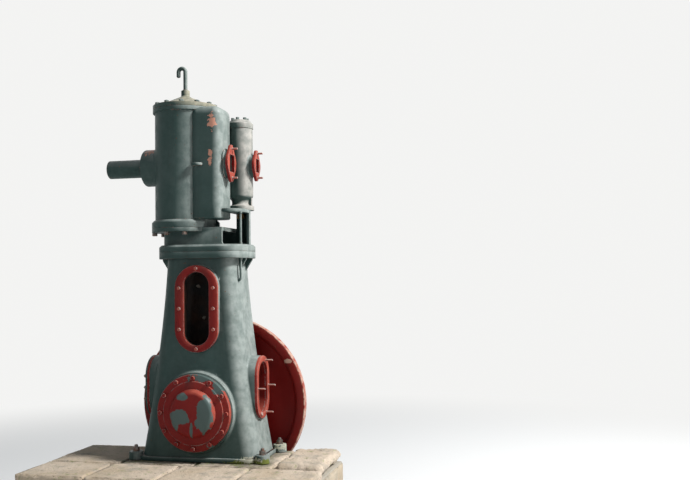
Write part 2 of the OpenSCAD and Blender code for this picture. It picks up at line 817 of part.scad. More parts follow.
module cylinder_cover() {
    color(paint)
        translate([-cylinder_x, 0, cylinder_top]) rotate_extrude($fn = 96) polygon([
            [0, 0], [cylinder_top_r, 0], [cylinder_top_r, top_cover_t - 3],
            [cylinder_top_r - 3, top_cover_t], [top_cone_r, top_cover_t],
            [top_boss_r + 12, top_cover_t + top_cone_h - 8], [top_boss_r, top_cover_t + top_cone_h],
            [top_boss_r, top_cover_t + top_cone_h + top_boss_h - 4],
            [top_boss_r - 4, top_cover_t + top_cone_h + top_boss_h],
            [0, top_cover_t + top_cone_h + top_boss_h]]);
}

module cylinder_cover_nuts() {
    color(steel)
        nuts_round(-cylinder_x, 0, cover_edge_top, (cylinder_top_r + top_cone_r) / 2 - 1, top_nuts, 15)
            hex_nut(cylinder_nut_af, cylinder_nut_h);
}

module lifting_hook() {
    color(steel) translate([-cylinder_x, 0, boss_top]) {
        cylinder(r = hook_bar_r, h = hook_leg);
        translate([-hook_bend_r, 0, hook_leg]) rotate([90, 0, 0])
            rotate_extrude(angle = 180) translate([hook_bend_r, 0]) circle(hook_bar_r, $fn = 32);
        translate([-2 * hook_bend_r, 0, hook_leg - hook_tip]) cylinder(r = hook_bar_r, h = hook_tip);
    }
}

// Rounded steam passage that joins the cylinder to the valve chest, with a small ledge in front
module steam_passage() {
    color(paint) {
        steam_passage_body();
        translate([0, -passage_front + ledge_r - ledge_out, branch_z - ledge_t]) intersection() {
            cylinder(r = ledge_r, h = ledge_t);
            translate([-ledge_r, -ledge_r, 0]) cube([2 * ledge_r, ledge_out + 4, ledge_t]);
        }
    }
}

module steam_passage_body() {
    difference() {
        hull() for (x = [passage_round - 60, passage_right - passage_round])
            for (y = [-passage_front + passage_round, passage_back - passage_round])
                translate([x, y, passage_foot]) {
                    cylinder(r = passage_round, h = passage_h - passage_round, $fn = 32);
                    translate([0, 0, passage_h - passage_round]) sphere(passage_round, $fn = 32);
                }
        translate([-cylinder_x, 0, passage_foot - eps])
            cylinder(r = cylinder_r + seam_gap, h = cylinder_h, $fn = 96);
        translate([-cylinder_x, 0, cylinder_top - cylinder_top_t])
            cylinder(r = cylinder_top_r + seam_gap, h = 2 * cylinder_top_t, $fn = 96);
        translate([valve_x, valve_y, passage_foot - eps])
            cylinder(r = chest_foot_r + seam_gap, h = chest_body - passage_foot + eps);
        translate([valve_x, valve_y, chest_body - eps])
            cylinder(r = chest_r + seam_gap, h = chest_h + chest_cover_t);
        translate([valve_x, valve_y, chest_top])
            cylinder(r = chest_cover_r + seam_gap, h = 2 * chest_cover_t);
        on_right(passage_right - port_depth, -steam_flange_front, branch_z)
            linear_extrude(port_depth + eps) square([2 * port_y, 2 * port_z], center = true);
    }
}

// Valve chest
module valve_chest() {
    color(paint) {
        valve_chest_body();
        translate([valve_x + chest_neck_r - 6, valve_y - chest_rib_t / 2, chest_foot + chest_foot_t - eps])
            cube([chest_r - chest_neck_r, chest_rib_t, chest_neck_h + 2 * eps]);
    }
}

module valve_chest_body() {
    difference() {
        translate([valve_x, valve_y, chest_foot]) rotate_extrude() polygon([
            [spindle_r + 2, 0], [chest_foot_r, 0], [chest_foot_r, chest_foot_t],
            [chest_neck_r, chest_foot_t + 6], [chest_neck_r, chest_foot_t + chest_neck_h - 20],
            [chest_r, chest_foot_t + chest_neck_h],
            [chest_r, chest_foot_t + chest_neck_h + chest_h], [0, chest_foot_t + chest_neck_h + chest_h],
            [0, chest_foot_t + chest_neck_h], [spindle_r + 2, chest_foot_t + chest_neck_h]]);
        on_right(valve_x + chest_r - chest_port_depth, valve_y, branch_z)
            linear_extrude(chest_port_depth + eps) square([1.4 * port_y, 1.6 * port_z], center = true);
    }
}

module valve_chest_cover() {
    color(paint)
        translate([valve_x, valve_y, chest_top]) rotate_extrude() polygon([
            [0, 0], [chest_cover_r, 0], [chest_cover_r, chest_cover_t * 0.6],
            [chest_cover_r - 8, chest_cover_t * 0.6 + 5], [chest_cover_r - 26, chest_cover_t],
            [0, chest_cover_t]]);
}

module valve_chest_nuts() {
    color(steel)
        nuts_round(valve_x, valve_y, chest_top + chest_cover_t, chest_cover_r - 40, chest_nuts, 30)
            hex_nut(cylinder_nut_af * 0.7, cylinder_nut_h * 0.7);
}

module valve_gland() {
    color(bronze)
        translate([valve_x, valve_y, yoke_top - yoke_top_t - gland_h]) difference() {
            cylinder(r = gland_r, h = gland_h);
            translate([0, 0, -eps]) cylinder(r = spindle_r + journal_clearance, h = gland_h + 2 * eps);
        }
}

module valve_spindle() {
    color(steel)
        translate([valve_x, valve_y, frame_top - 60])
            cylinder(r = spindle_r, h = chest_body - frame_top + 60);
}

// Branches
module oval_flange(half_w, half_h, port_w, port_h, stud) {
    linear_extrude(oval_t) difference() {
        intersection() {
            circle(half_h);
            scale([half_w / half_h, 1]) circle(half_h);
        }
        if (port_w > 0) square([2 * port_w, 2 * port_h], center = true);
    }
}

module steam_neck() {
    color(paint)
        on_right(passage_right, -steam_flange_front, branch_z) linear_extrude(steam_neck_l)
            difference() {
                oval(steam_flange_y * 0.72, steam_flange_z * 0.72);
                square([2 * port_y, 2 * port_z], center = true);
            }
}

module steam_flange() {
    color(red)
        on_right(steam_neck_end, -steam_flange_front, branch_z) linear_extrude(oval_t)
            difference() {
                oval(steam_flange_y, steam_flange_z);
                square([2 * port_y, 2 * port_z], center = true);
            }
}

module flange_studs(z, out) {
    for (s = [-1, 1]) translate([0, s * z, out]) cylinder(d = flange_stud_d, h = flange_stud_out);
}

module steam_flange_studs() {
    color(steel) on_right(steam_neck_end, -steam_flange_front, branch_z) flange_studs(steam_stud_z, oval_t);
}

module exhaust_neck() {
    color(paint)
    difference() {
        on_right(valve_x, valve_y, branch_z) linear_extrude(chest_r + exhaust_neck_l)
            oval(exhaust_flange_y * 0.7, exhaust_flange_z * 0.72);
        translate([valve_x, valve_y, branch_z - exhaust_flange_z])
            cylinder(r = chest_r + seam_gap, h = 2 * exhaust_flange_z);
        on_right(valve_x, valve_y, branch_z) linear_extrude(chest_r + exhaust_neck_l + eps)
            square([1.4 * port_y, 1.6 * port_z], center = true);
    }
}

module exhaust_flange() {
    color(red)
        on_right(exhaust_neck_end, valve_y, branch_z) linear_extrude(oval_t) difference() {
            oval(exhaust_flange_y, exhaust_flange_z);
            square([1.4 * port_y, 1.6 * port_z], center = true);
        }
}

module exhaust_flange_studs() {
    color(steel) on_right(exhaust_neck_end, valve_y, branch_z) flange_studs(exhaust_stud_z, oval_t);
}

module left_collar() {
    color(paint)
        translate([-cylinder_x - left_branch_l, 0, branch_z]) rotate([0, -90, 0]) difference() {
            cylinder(r = collar_r, h = collar_l);
            translate([0, 0, -eps]) cylinder(r = stub_r + fit_gap, h = collar_l + 2 * eps);
        }
}

module left_stub_pipe() {
    color(paint)
        translate([-cylinder_x - left_branch_l, 0, branch_z]) rotate([0, -90, 0]) difference() {
            cylinder(r = stub_r, h = stub_l);
            translate([0, 0, -eps]) cylinder(r = stub_bore_r, h = stub_l + 2 * eps);
        }
}

// Drain pipe from the column joint, down and back into the column's rounded corner
module drain_pipe() {
    knee_z = plinth_top + loft_h - drain_drop;
    x = neck_half_x + drain_off;
    wall = frame_half_x(knee_z - plinth_top) - frame_corner;
    corner_y = frame_half_y(knee_z - plinth_top) - frame_corner;
    wall_x = wall + sqrt(frame_corner * frame_corner - pow(drain_y - corner_y, 2));
    color(paint) translate([x, -drain_y, knee_z]) {
        cylinder(r = drain_r, h = drain_drop, $fn = 24);
        sphere(drain_r, $fn = 24);
        rotate([0, -90, 0]) cylinder(r = drain_r, h = x - wall_x - 2.2, $fn = 24);
    }
}

plinth_masonry();
plinth_flags();
plinth_corner_stone();
engine_frame();
holding_down_bolts();
front_bearing_cover();
front_bearing_cap();
front_cover_bolts();
front_bush();
rear_bearing_housing();
rear_bush();
crankshaft();
flywheel();
flywheel_key();
front_door_frame();
front_door_studs();
side_door_frame();
side_door_studs();
left_door_frame();
left_door_plate();
left_door_nuts();
distance_piece();
cylinder_casting();
cylinder_foot_nuts();
cylinder_cover();
cylinder_cover_nuts();
lifting_hook();
steam_passage();
valve_chest();
valve_chest_cover();
valve_chest_nuts();
valve_gland();
valve_spindle();
steam_neck();
steam_flange();
steam_flange_studs();
exhaust_neck();
exhaust_flange();
exhaust_flange_studs();
left_collar();
left_stub_pipe();
drain_pipe();
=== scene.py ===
import math
import random
import bmesh
import bpy
from mathutils import Matrix, Vector, noise


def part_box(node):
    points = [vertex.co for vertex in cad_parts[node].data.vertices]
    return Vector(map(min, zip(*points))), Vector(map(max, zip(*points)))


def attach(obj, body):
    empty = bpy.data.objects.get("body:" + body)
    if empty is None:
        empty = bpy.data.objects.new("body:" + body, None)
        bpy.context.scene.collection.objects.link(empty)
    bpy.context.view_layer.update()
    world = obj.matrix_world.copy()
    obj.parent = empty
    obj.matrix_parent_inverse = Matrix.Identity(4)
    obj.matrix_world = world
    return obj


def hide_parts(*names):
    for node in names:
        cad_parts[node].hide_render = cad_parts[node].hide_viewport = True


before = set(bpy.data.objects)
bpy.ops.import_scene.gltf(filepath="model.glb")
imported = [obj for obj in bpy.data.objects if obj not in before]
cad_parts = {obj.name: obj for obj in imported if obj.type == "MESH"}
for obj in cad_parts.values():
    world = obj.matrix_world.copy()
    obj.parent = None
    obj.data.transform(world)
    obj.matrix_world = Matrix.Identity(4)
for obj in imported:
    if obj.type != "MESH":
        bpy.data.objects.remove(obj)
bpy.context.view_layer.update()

# Studio
# A pale floor under an open pale sky, with one strong soft lamp high on the right, where the
# light comes from in the photograph, and a weak one in front. The camera has the same angle.
floor_half = 60.0
floor_colour = (0.78, 0.78, 0.77, 1)
floor_near, floor_far = 2.6, 6.5
sky_seen = (0.90, 0.90, 0.89, 1)
sky_light = (0.115, 0.135, 0.155, 1)
eye = Vector((2.225, -5.648, 1.609))
heading = math.radians(12.62)
pitch = math.radians(2.4)
roll = math.atan(0.0136)
lens = 45.91
sensor = 36.0
engine_middle = (0, 0, 1.5)
key_place, key_size, key_power = (8.6, -0.7, 9.2), 2.0, 2150
fill_place, fill_size, fill_power = (-4.0, -8.0, 4.0), 5.0, 60


def node(tree, kind, inputs, **settings):
    made = tree.nodes.new(kind)
    for key, value in settings.items():
        setattr(made, key, value)
    for key, value in inputs.items():
        if isinstance(value, bpy.types.NodeSocket):
            tree.links.new(value, made.inputs[key])
        else:
            made.inputs[key].default_value = value
    return made


def new_material(name):
    material = bpy.data.materials.new(name)
    material.use_nodes = True
    tree = material.node_tree
    return material, tree, tree.nodes["Principled BSDF"]


def new_piece(name, work):
    mesh = bpy.data.meshes.new(name)
    work.to_mesh(mesh)
    work.free()
    made = bpy.data.objects.new(name, mesh)
    bpy.context.scene.collection.objects.link(made)
    return made


floor_mat, floor_tree, floor_shader = new_material("floor")
floor_shader.inputs["Base Color"].default_value = floor_colour
floor_shader.inputs["Roughness"].default_value = 0.9
floor_ray = node(floor_tree, "ShaderNodeLightPath", {})
floor_place = node(floor_tree, "ShaderNodeTexCoord", {}).outputs["Object"]
floor_reach = node(floor_tree, "ShaderNodeVectorMath", {0: floor_place}, operation="LENGTH").outputs["Value"]
floor_fade = node(floor_tree, "ShaderNodeMapRange", {"Value": floor_reach, "From Min": floor_near,
                                                     "From Max": floor_far}, interpolation_type="SMOOTHSTEP")
floor_seen = node(floor_tree, "ShaderNodeMath",
                  {0: floor_fade.outputs[0], 1: floor_ray.outputs["Is Camera Ray"]}, operation="MULTIPLY")
floor_glow = node(floor_tree, "ShaderNodeEmission", {"Color": sky_seen, "Strength": 1.0})
floor_mix = node(floor_tree, "ShaderNodeMixShader", {0: floor_seen.outputs[0], 1: floor_shader.outputs[0],
                                                     2: floor_glow.outputs[0]})
floor_tree.links.new(floor_mix.outputs[0], floor_tree.nodes["Material Output"].inputs["Surface"])
floor_work = bmesh.new()
bmesh.ops.create_grid(floor_work, x_segments=2, y_segments=2, size=floor_half)
floor = new_piece("floor", floor_work)
floor.data.materials.append(floor_mat)

world = bpy.data.worlds.new("studio")
bpy.context.scene.world = world
world.use_nodes = True
sky = world.node_tree
sky.nodes.clear()
ray = node(sky, "ShaderNodeLightPath", {})
seen = node(sky, "ShaderNodeMath", {0: ray.outputs["Is Camera Ray"], 1: ray.outputs["Is Transmission Ray"]},
            operation="MAXIMUM")
seen = node(sky, "ShaderNodeMath", {0: seen.outputs[0], 1: ray.outputs["Is Glossy Ray"]}, operation="MAXIMUM")
shade = node(sky, "ShaderNodeBackground", {"Color": sky_light, "Strength": 1.0})
bright = node(sky, "ShaderNodeBackground", {"Color": sky_seen, "Strength": 1.0})
mixed = node(sky, "ShaderNodeMixShader", {0: seen.outputs[0], 1: shade.outputs[0], 2: bright.outputs[0]})
node(sky, "ShaderNodeOutputWorld", {"Surface": mixed.outputs[0]})


def soft_lamp(name, place, aim, size, power):
    data = bpy.data.lights.new(name, "AREA")
    data.shape = "DISK"
    data.size = size
    data.energy = power
    lamp = bpy.data.objects.new(name, data)
    lamp.location = place
    lamp.rotation_euler = (Vector(aim) - Vector(place)).to_track_quat("-Z", "Y").to_euler()
    bpy.context.scene.collection.objects.link(lamp)


soft_lamp("key_lamp", key_place, engine_middle, key_size, key_power)
soft_lamp("fill_lamp", fill_place, engine_middle, fill_size, fill_power)

ahead = Vector((-math.sin(heading) * math.cos(pitch), math.cos(heading) * math.cos(pitch), math.sin(pitch)))
level = Vector((math.cos(heading), math.sin(heading), 0))
above = level.cross(ahead)
across = level * math.cos(roll) - above * math.sin(roll)
upward = level * math.sin(roll) + above * math.cos(roll)
camera_data = bpy.data.cameras.new("camera")
camera_data.lens = lens
camera_data.sensor_width = sensor
camera_data.sensor_fit = "HORIZONTAL"
camera = bpy.data.objects.new("camera", camera_data)
camera.matrix_world = Matrix.Translation(eye) @ Matrix((across, upward, -ahead)).transposed().to_4x4()
bpy.context.scene.collection.objects.link(camera)
bpy.context.scene.camera = camera
bpy.context.scene.view_settings.view_transform = "Standard"

# Plinth masonry
# Two courses of squared sandstone blocks with hammer-dressed faces, laid in lime mortar round
# a rubble core. The blocks are rough, rounded at their edges and a little uneven in colour.
rng = random.Random(7)
course_count = 2
block_length = 0.42
block_depth = 0.16
mortar_joint = 0.012
mortar_back = 0.014
stone_round = 0.009
stone_cell = 0.020
stone_wear = 0.012
stone_chip = 0.030
joint_drift = 0.05
seed_span = 20
core_cell, core_round, core_wear, core_seed = 0.06, 0.006, 0.003, 4.0
sandstone_pale = (0.46, 0.385, 0.285, 1)
sandstone_warm = (0.38, 0.290, 0.185, 1)
sandstone_grey = (0.25, 0.23, 0.19, 1)
sandstone_pit = (0.10, 0.085, 0.060, 1)
lichen_green = (0.20, 0.23, 0.09, 1)
mortar_colour = (0.45, 0.41, 0.34, 1)


def ramp(tree, value, low, high):
    """A 0 to 1 mask that rises where the value goes from low to high."""
    return node(tree, "ShaderNodeMapRange", {"Value": value, "From Min": low, "From Max": high}).outputs[0]


def cloud(tree, scale, detail=4.0, rough=0.55, stretch=(1, 1, 1), shift=0.0):
    """Noise over the object's own coordinates, in metres."""
    place = node(tree, "ShaderNodeTexCoord", {}).outputs["Object"]
    mapped = node(tree, "ShaderNodeMapping",
                  {"Vector": place, "Scale": stretch, "Location": (shift, shift, shift)})
    return node(tree, "ShaderNodeTexNoise", {"Vector": mapped.outputs[0], "Scale": scale, "Detail": detail,
                                             "Roughness": rough}).outputs["Fac"]


def blend(tree, mask, under, over):
    mixed = node(tree, "ShaderNodeMix", {0: mask}, data_type="RGBA")
    for index, colour in ((6, under), (7, over)):
        if isinstance(colour, bpy.types.NodeSocket):
            tree.links.new(colour, mixed.inputs[index])
        else:
            mixed.inputs[index].default_value = colour
    return mixed.outputs[2]


def product(tree, first, second):
    return node(tree, "ShaderNodeMath", {0: first, 1: second}, operation="MULTIPLY").outputs[0]


def bumped(tree, shader, layers):
    """Adds bumps, each a height, its strength and its depth in metres."""
    normal = None
    for height, strength, depth in layers:
        bump = node(tree, "ShaderNodeBump", {"Height": height, "Strength": strength, "Distance": depth})
        if normal:
            tree.links.new(normal, bump.inputs["Normal"])
        normal = bump.outputs[0]
    tree.links.new(normal, shader.inputs["Normal"])


def sandstone(name, pale, moss):
    material, tree, shader = new_material(name)
    beds = ramp(tree, cloud(tree, 3.1, detail=6.0, rough=0.6), 0.42, 0.68)
    colour = blend(tree, product(tree, beds, 0.8), pale, sandstone_warm)
    stain = ramp(tree, cloud(tree, 7.0, detail=9.0, rough=0.72, shift=3.0), 0.50, 0.66)
    colour = blend(tree, product(tree, stain, 0.85), colour, sandstone_grey)
    speckle = ramp(tree, cloud(tree, 110.0, detail=4.0, rough=0.7, shift=11.0), 0.56, 0.64)
    colour = blend(tree, product(tree, speckle, 0.45), colour, sandstone_grey)
    grain = ramp(tree, cloud(tree, 320.0, detail=2.0), 0.2, 0.8)
    colour = blend(tree, product(tree, grain, 0.25), colour, pale)
    pits = ramp(tree, cloud(tree, 46.0, detail=3.0, rough=0.6, shift=6.0), 0.645, 0.70)
    colour = blend(tree, product(tree, pits, 0.8), colour, sandstone_pit)
    growth = ramp(tree, cloud(tree, 14.0, detail=8.0, rough=0.7, shift=8.0), 0.62 - moss, 0.74 - moss)
    colour = blend(tree, growth, colour, lichen_green)
    tree.links.new(colour, shader.inputs["Base Color"])
    shader.inputs["Roughness"].default_value = 0.92
    bumped(tree, shader, ((cloud(tree, 16.0, detail=5.0, rough=0.6, shift=2.0), 0.9, 0.012),
                          (cloud(tree, 60.0, detail=8.0, rough=0.65), 0.8, 0.004),
                          (product(tree, pits, -1.0), 0.7, 0.003),
                          (cloud(tree, 400.0, detail=2.0), 0.4, 0.0006)))
    return material


def rough_block(work, low, high, cell, rounding, wear, chip, seed):
    """A box of stone cut in cells: faces worn inwards, edges rounded and broken."""
    low = Vector(low)
    high = Vector(high)
    inner_low = low + Vector((rounding,) * 3)
    inner_high = high - Vector((rounding,) * 3)
    drift = Vector((seed * 7.3, seed * 3.1, seed * 5.7))
    lines = []
    for axis in range(3):
        count = max(2, round((inner_high[axis] - inner_low[axis]) / cell))
        step = (inner_high[axis] - inner_low[axis]) / count
        lines.append([low[axis]] + [inner_low[axis] + step * i for i in range(count + 1)] + [high[axis]])
    found = {}

    def corner(index):
        if index not in found:
            point = Vector([lines[i][index[i]] for i in range(3)])
            core = Vector([min(max(point[i], inner_low[i]), inner_high[i]) for i in range(3)])
            out = (point - core).normalized()
            edge = min(4 * (1 - max(abs(part) for part in out)), 1)
            broad = 0.5 + 0.5 * noise.noise(point * 8 + drift)
            dent = 0.6 * broad + 0.4 * abs(noise.noise(point * 30 + drift))
            broken = max(noise.noise(point * 11 - drift), 0) + 0.6 * max(noise.noise(point * 38 - drift), 0)
            found[index] = work.verts.new(core + out * (rounding - wear * dent - chip * edge * broken))
        return found[index]

    for axis in range(3):
        first, second = (axis + 1) % 3, (axis + 2) % 3
        for side in (0, len(lines[axis]) - 1):
            for i in range(len(lines[first]) - 1):
                for j in range(len(lines[second]) - 1):
                    loop = []
                    for di, dj in ((0, 0), (1, 0), (1, 1), (0, 1)):
                        index = [0, 0, 0]
                        index[axis] = side
                        index[first] = i + di
                        index[second] = j + dj
                        loop.append(corner(tuple(index)))
                    if side == 0:
                        loop.reverse()
                    work.faces.new(loop).smooth = True


def settle(made, material, stands_for, body="engine"):
    """Gives a piece its material, the body that it moves with and the nodes that it stands for."""
    made.data.materials.append(material)
    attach(made, body)
    if stands_for:
        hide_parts(*stands_for)


masonry_low, masonry_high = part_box("plinth_masonry")
block_stone = sandstone("sandstone_blocks", sandstone_pale, 0.0)
mortar, mortar_tree, mortar_shader = new_material("lime_mortar")
mortar_mix = blend(mortar_tree, cloud(mortar_tree, 60.0, detail=6.0), mortar_colour, sandstone_grey)
mortar_tree.links.new(mortar_mix, mortar_shader.inputs["Base Color"])
mortar_shader.inputs["Roughness"].default_value = 0.95
bumped(mortar_tree, mortar_shader, ((cloud(mortar_tree, 120.0, detail=6.0), 0.8, 0.002),))


def course_cuts(start, end, length, offset):
    """Joints along one course, near the block length but uneven."""
    count = max(2, round((end - start) / length))
    step = (end - start) / count
    cuts = [start]
    for i in range(1, count + offset):
        cuts.append(start + step * (i - 0.5 * offset) + rng.uniform(-joint_drift, joint_drift))
    cuts.append(end)
    return cuts


blocks_work = bmesh.new()
course_h = (masonry_high[2] - masonry_low[2]) / course_count
gap = mortar_joint / 2
for course in range(course_count):
    z0 = masonry_low[2] + course * course_h + (gap if course else 0)
    z1 = masonry_low[2] + (course + 1) * course_h - gap
    for face in (0, 1):
        y0 = masonry_low[1] if face == 0 else masonry_high[1] - block_depth
        cuts = course_cuts(masonry_low[0], masonry_high[0], block_length, (course + face) % 2)
        for x0, x1 in zip(cuts, cuts[1:]):
            rough_block(blocks_work, (x0 + gap, y0, z0), (x1 - gap, y0 + block_depth, z1),
                        stone_cell, stone_round, stone_wear, stone_chip, rng.random() * seed_span)
    for face in (0, 1):
        x0 = masonry_low[0] if face == 0 else masonry_high[0] - block_depth
        cuts = course_cuts(masonry_low[1] + block_depth, masonry_high[1] - block_depth, block_length, 0)
        for y0, y1 in zip(cuts, cuts[1:]):
            rough_block(blocks_work, (x0, y0 + gap, z0), (x0 + block_depth, y1 - gap, z1),
                        stone_cell, stone_round, stone_wear, stone_chip, rng.random() * seed_span)
masonry = new_piece("masonry_blocks", blocks_work)
settle(masonry, block_stone, ["plinth_masonry"])

core_work = bmesh.new()
rough_block(core_work, (masonry_low[0] + mortar_back, masonry_low[1] + mortar_back, masonry_low[2]),
            (masonry_high[0] - mortar_back, masonry_high[1] - mortar_back, masonry_high[2]),
            core_cell, core_round, core_wear, 0.0, core_seed)
core = new_piece("masonry_mortar", core_work)
settle(core, mortar, [])

# Flagstones
# Sawn and weathered sandstone flags in two rows on the masonry, worn at the edges, with open
# joints where moss grows. The right rear one stands a little higher than the rest.
flag_cell = 0.015
flag_round = 0.011
flag_wear = 0.008
flag_chip = 0.042
flag_seed_step = 1.7
corner_round, corner_wear, corner_chip, corner_seed = 0.040, 0.026, 0.050, 12.0
foot_shade_x, foot_shade_y = 0.425, 0.240
weld_gap = 1e-5
flag_pale = (0.55, 0.455, 0.355, 1)
foot_shade_dark = (0.085, 0.075, 0.055, 1)
moss_green = (0.150, 0.170, 0.040, 1)
flag_stone = sandstone("sandstone_flags", flag_pale, 0.05)


def shaded_round_foot(material, foot_x, foot_y):
    """Paints shade on the stone round the engine's foot, darkest next to it, and moss near it."""
    tree = material.node_tree
    shader = tree.nodes["Principled BSDF"]
    colour = shader.inputs["Base Color"].links[0].from_socket
    place = node(tree, "ShaderNodeTexCoord", {}).outputs["Object"]
    size = node(tree, "ShaderNodeVectorMath", {0: place}, operation="ABSOLUTE").outputs[0]
    past = node(tree, "ShaderNodeVectorMath", {0: size, 1: (foot_x, foot_y, 10)},
                operation="SUBTRACT").outputs[0]
    past = node(tree, "ShaderNodeVectorMath", {0: past, 1: (0, 0, 0)}, operation="MAXIMUM").outputs[0]
    reach = node(tree, "ShaderNodeVectorMath", {0: past}, operation="LENGTH").outputs["Value"]
    torn = product(tree, ramp(tree, cloud(tree, 9.0, detail=7.0, rough=0.65), 0.30, 0.70), 0.16)
    total = node(tree, "ShaderNodeMath", {0: reach, 1: torn}, operation="ADD").outputs[0]
    # Painted shade on the flags, darkest next to the foot.
    painted_foot_shade = product(tree, ramp(tree, total, 0.190, 0.080), 0.80)
    colour = blend(tree, painted_foot_shade, colour, foot_shade_dark)
    moss = ramp(tree, cloud(tree, 26.0, detail=6.0, rough=0.7, shift=12.0), 0.50, 0.60)
    near = ramp(tree, total, 0.150, 0.080)
    colour = blend(tree, product(tree, moss, near), colour, moss_green)
    tree.links.new(colour, shader.inputs["Base Color"])


def islands(name):
    """Lowest and highest corner of each separate solid of a CAD node."""
    work = bmesh.new()
    work.from_mesh(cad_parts[name].data)
    bmesh.ops.remove_doubles(work, verts=work.verts, dist=weld_gap)
    left = set(work.verts)
    boxes = []
    while left:
        reach = [left.pop()]
        points = []
        while reach:
            vert = reach.pop()
            points.append(vert.co.copy())
            for edge in vert.link_edges:
                other = edge.other_vert(vert)
                if other in left:
                    left.remove(other)
                    reach.append(other)
        boxes.append(([min(p[i] for p in points) for i in range(3)],
                      [max(p[i] for p in points) for i in range(3)]))
    work.free()
    return sorted(boxes)


shaded_round_foot(flag_stone, foot_shade_x, foot_shade_y)
flags_work = bmesh.new()
for number, (low, high) in enumerate(islands("plinth_flags")):
    rough_block(flags_work, low, high, flag_cell, flag_round, flag_wear, flag_chip,
                number * flag_seed_step)
flags = new_piece("flagstones", flags_work)
settle(flags, flag_stone, ["plinth_flags"])

corner_low, corner_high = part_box("plinth_corner_stone")
corner_work = bmesh.new()
rough_block(corner_work, corner_low, corner_high, flag_cell, corner_round, corner_wear, corner_chip,
            corner_seed)
corner_stone = new_piece("corner_stone", corner_work)
settle(corner_stone, flag_stone, ["plinth_corner_stone"])

# Frame casting
# Crankcase and column, cast in one hollow piece of grey iron, painted grey-green outside. It
# flares to its bolted foot and carries the seats of the doors and of the bearings.
plinth_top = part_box("engine_frame")[0][2]
frame_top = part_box("engine_frame")[1][2]
crank_z = 0.74
frame_h = frame_top - plinth_top
neck_half_x, foot_half_x = 0.247, 0.410
neck_half_y, foot_half_y = 0.172, 0.224
frame_corner = 0.098
frame_sweep = 1.5
frame_wall = 0.022
foot_t = 0.028
foot_lip = 0.016
joint_half_x, joint_half_y = 0.315, 0.222
joint_corner = 0.170
joint_t = 0.046
boss_r, boss_face = 0.262, 0.244
bearing_bore = 0.165
rear_boss_r, rear_boss_face = 0.160, 0.231
rear_bore = 0.110
front_door_z, front_door_seat = 1.413, 0.198
front_door_half = (0.150, 0.286)
front_way_half = (0.088, 0.241)
side_door_z, side_door_seat = 0.883, 0.371
side_door_half = (0.132, 0.208)
side_way_half = (0.092, 0.168)
lug_x, lug_y = 0.440, 0.190
lug_r, lug_h = 0.046, 0.052
lug_root, lug_fillet = 0.0075, 0.001
bolt_hole_r = 0.013
gusset_y, gusset_t, gusset_out, gusset_h = 0.062, 0.016, 0.052, 0.084
cast_edge, joint_edge = 0.004, 0.003
cast_fillet, rear_fillet, door_fillet = 0.012, 0.008, 0.006
bearing_cut, rear_cut, bore_past = 0.06, 0.05, 0.02
front_way_cut, side_way_cut, way_past = 0.09, 0.14, 0.03
inside_slot, red_slot = 1, 2
boss_sunk, boss_step = 0.007, 0.0002
on_axis = 1e-5
paint_green = (0.030, 0.062, 0.056, 1)
# paint_faded and red_faded also give the painted sunlight where old_paint turns a face towards sun_side.
paint_faded = (0.285, 0.320, 0.300, 1)
paint_grime = (0.014, 0.018, 0.016, 1)
red_fresh = (0.185, 0.008, 0.007, 1)
red_faded = (0.370, 0.080, 0.054, 1)
# Direction of the key lamp: faces turned to it get painted sunlight in old_paint.
sun_side = (0.75, -0.25, 0.60)
rust_brown = (0.130, 0.050, 0.022, 1)
oil_and_shade_dark = (0.012, 0.010, 0.009, 1)
speck_pale = (0.400, 0.360, 0.310, 1)
lichen_pale = (0.420, 0.420, 0.330, 1)
inside_pale_specks = [((-0.133, 0.17, 1.559), (0.016, 0.05, 0.010)),
                ((-0.097, 0.17, 1.336), (0.012, 0.05, 0.012))]
foot_moss = [((0.42, -0.215, plinth_top + 0.006), (0.095, 0.05, 0.022)),
             ((0.30, -0.240, plinth_top + 0.004), (0.070, 0.03, 0.014))]
foot_lichen = [((0.45, 0.190, plinth_top + 0.045), (0.050, 0.060, 0.030)),
               ((0.36, -0.235, plinth_top + 0.024), (0.060, 0.040, 0.018))]
paint_sheen = 0.16

UPRIGHT = Matrix.Identity(3)
FRONT = Matrix(((1, 0, 0), (0, 0, -1), (0, 1, 0)))
BACK = Matrix(((1, 0, 0), (0, 0, 1), (0, -1, 0)))
RIGHT = Matrix(((0, 0, 1), (1, 0, 0), (0, 1, 0)))
LEFT = Matrix(((0, 0, -1), (-1, 0, 0), (0, 1, 0)))


def rounded_ring(a, b, r, steps=12, flats=5):
    """Points of a rounded rectangle with half sizes a and b, counter-clockwise."""
    points = []
    for quarter in range(4):
        mid_x = (a - r) * (1 if quarter in (0, 3) else -1)
        mid_y = (b - r) * (1 if quarter < 2 else -1)
        next_x = (a - r) * (1 if quarter in (2, 3) else -1)
        next_y = (b - r) * (1 if quarter in (3, 0) else -1)
        for k in range(steps + 1):
            turn = math.radians(90 * (quarter + k / steps))
            points.append((mid_x + r * math.cos(turn), mid_y + r * math.sin(turn)))
        for k in range(1, flats):
            share = k / flats
            points.append((mid_x + (next_x - mid_x) * share + r * math.cos(turn),
                           mid_y + (next_y - mid_y) * share + r * math.sin(turn)))
    return points


def skin(work, rings, closed):
    """Faces between rings of equal length. Closed joins the last to the first, else both are capped."""
    rows = [[work.verts.new(point) for point in ring] for ring in rings]
    count = len(rows[0])
    pairs = list(zip(rows, rows[1:]))
    if closed:
        pairs.append((rows[-1], rows[0]))
    else:
        work.faces.new(reversed(rows[0]))
        work.faces.new(rows[-1])
    for lower, upper in pairs:
        for k in range(count):
            n = (k + 1) % count
            work.faces.new((lower[k], lower[n], upper[n], upper[k]))


def sweep(work, outline, profile, turn, place, closed=True):
    """Rings of outline(offset) at each (offset, height) of the profile, stood on the place."""
    rings = []
    for offset, height in profile:
        rings.append([turn @ Vector((x, y, height)) + Vector(place) for x, y in outline(offset)])
    skin(work, rings, closed)


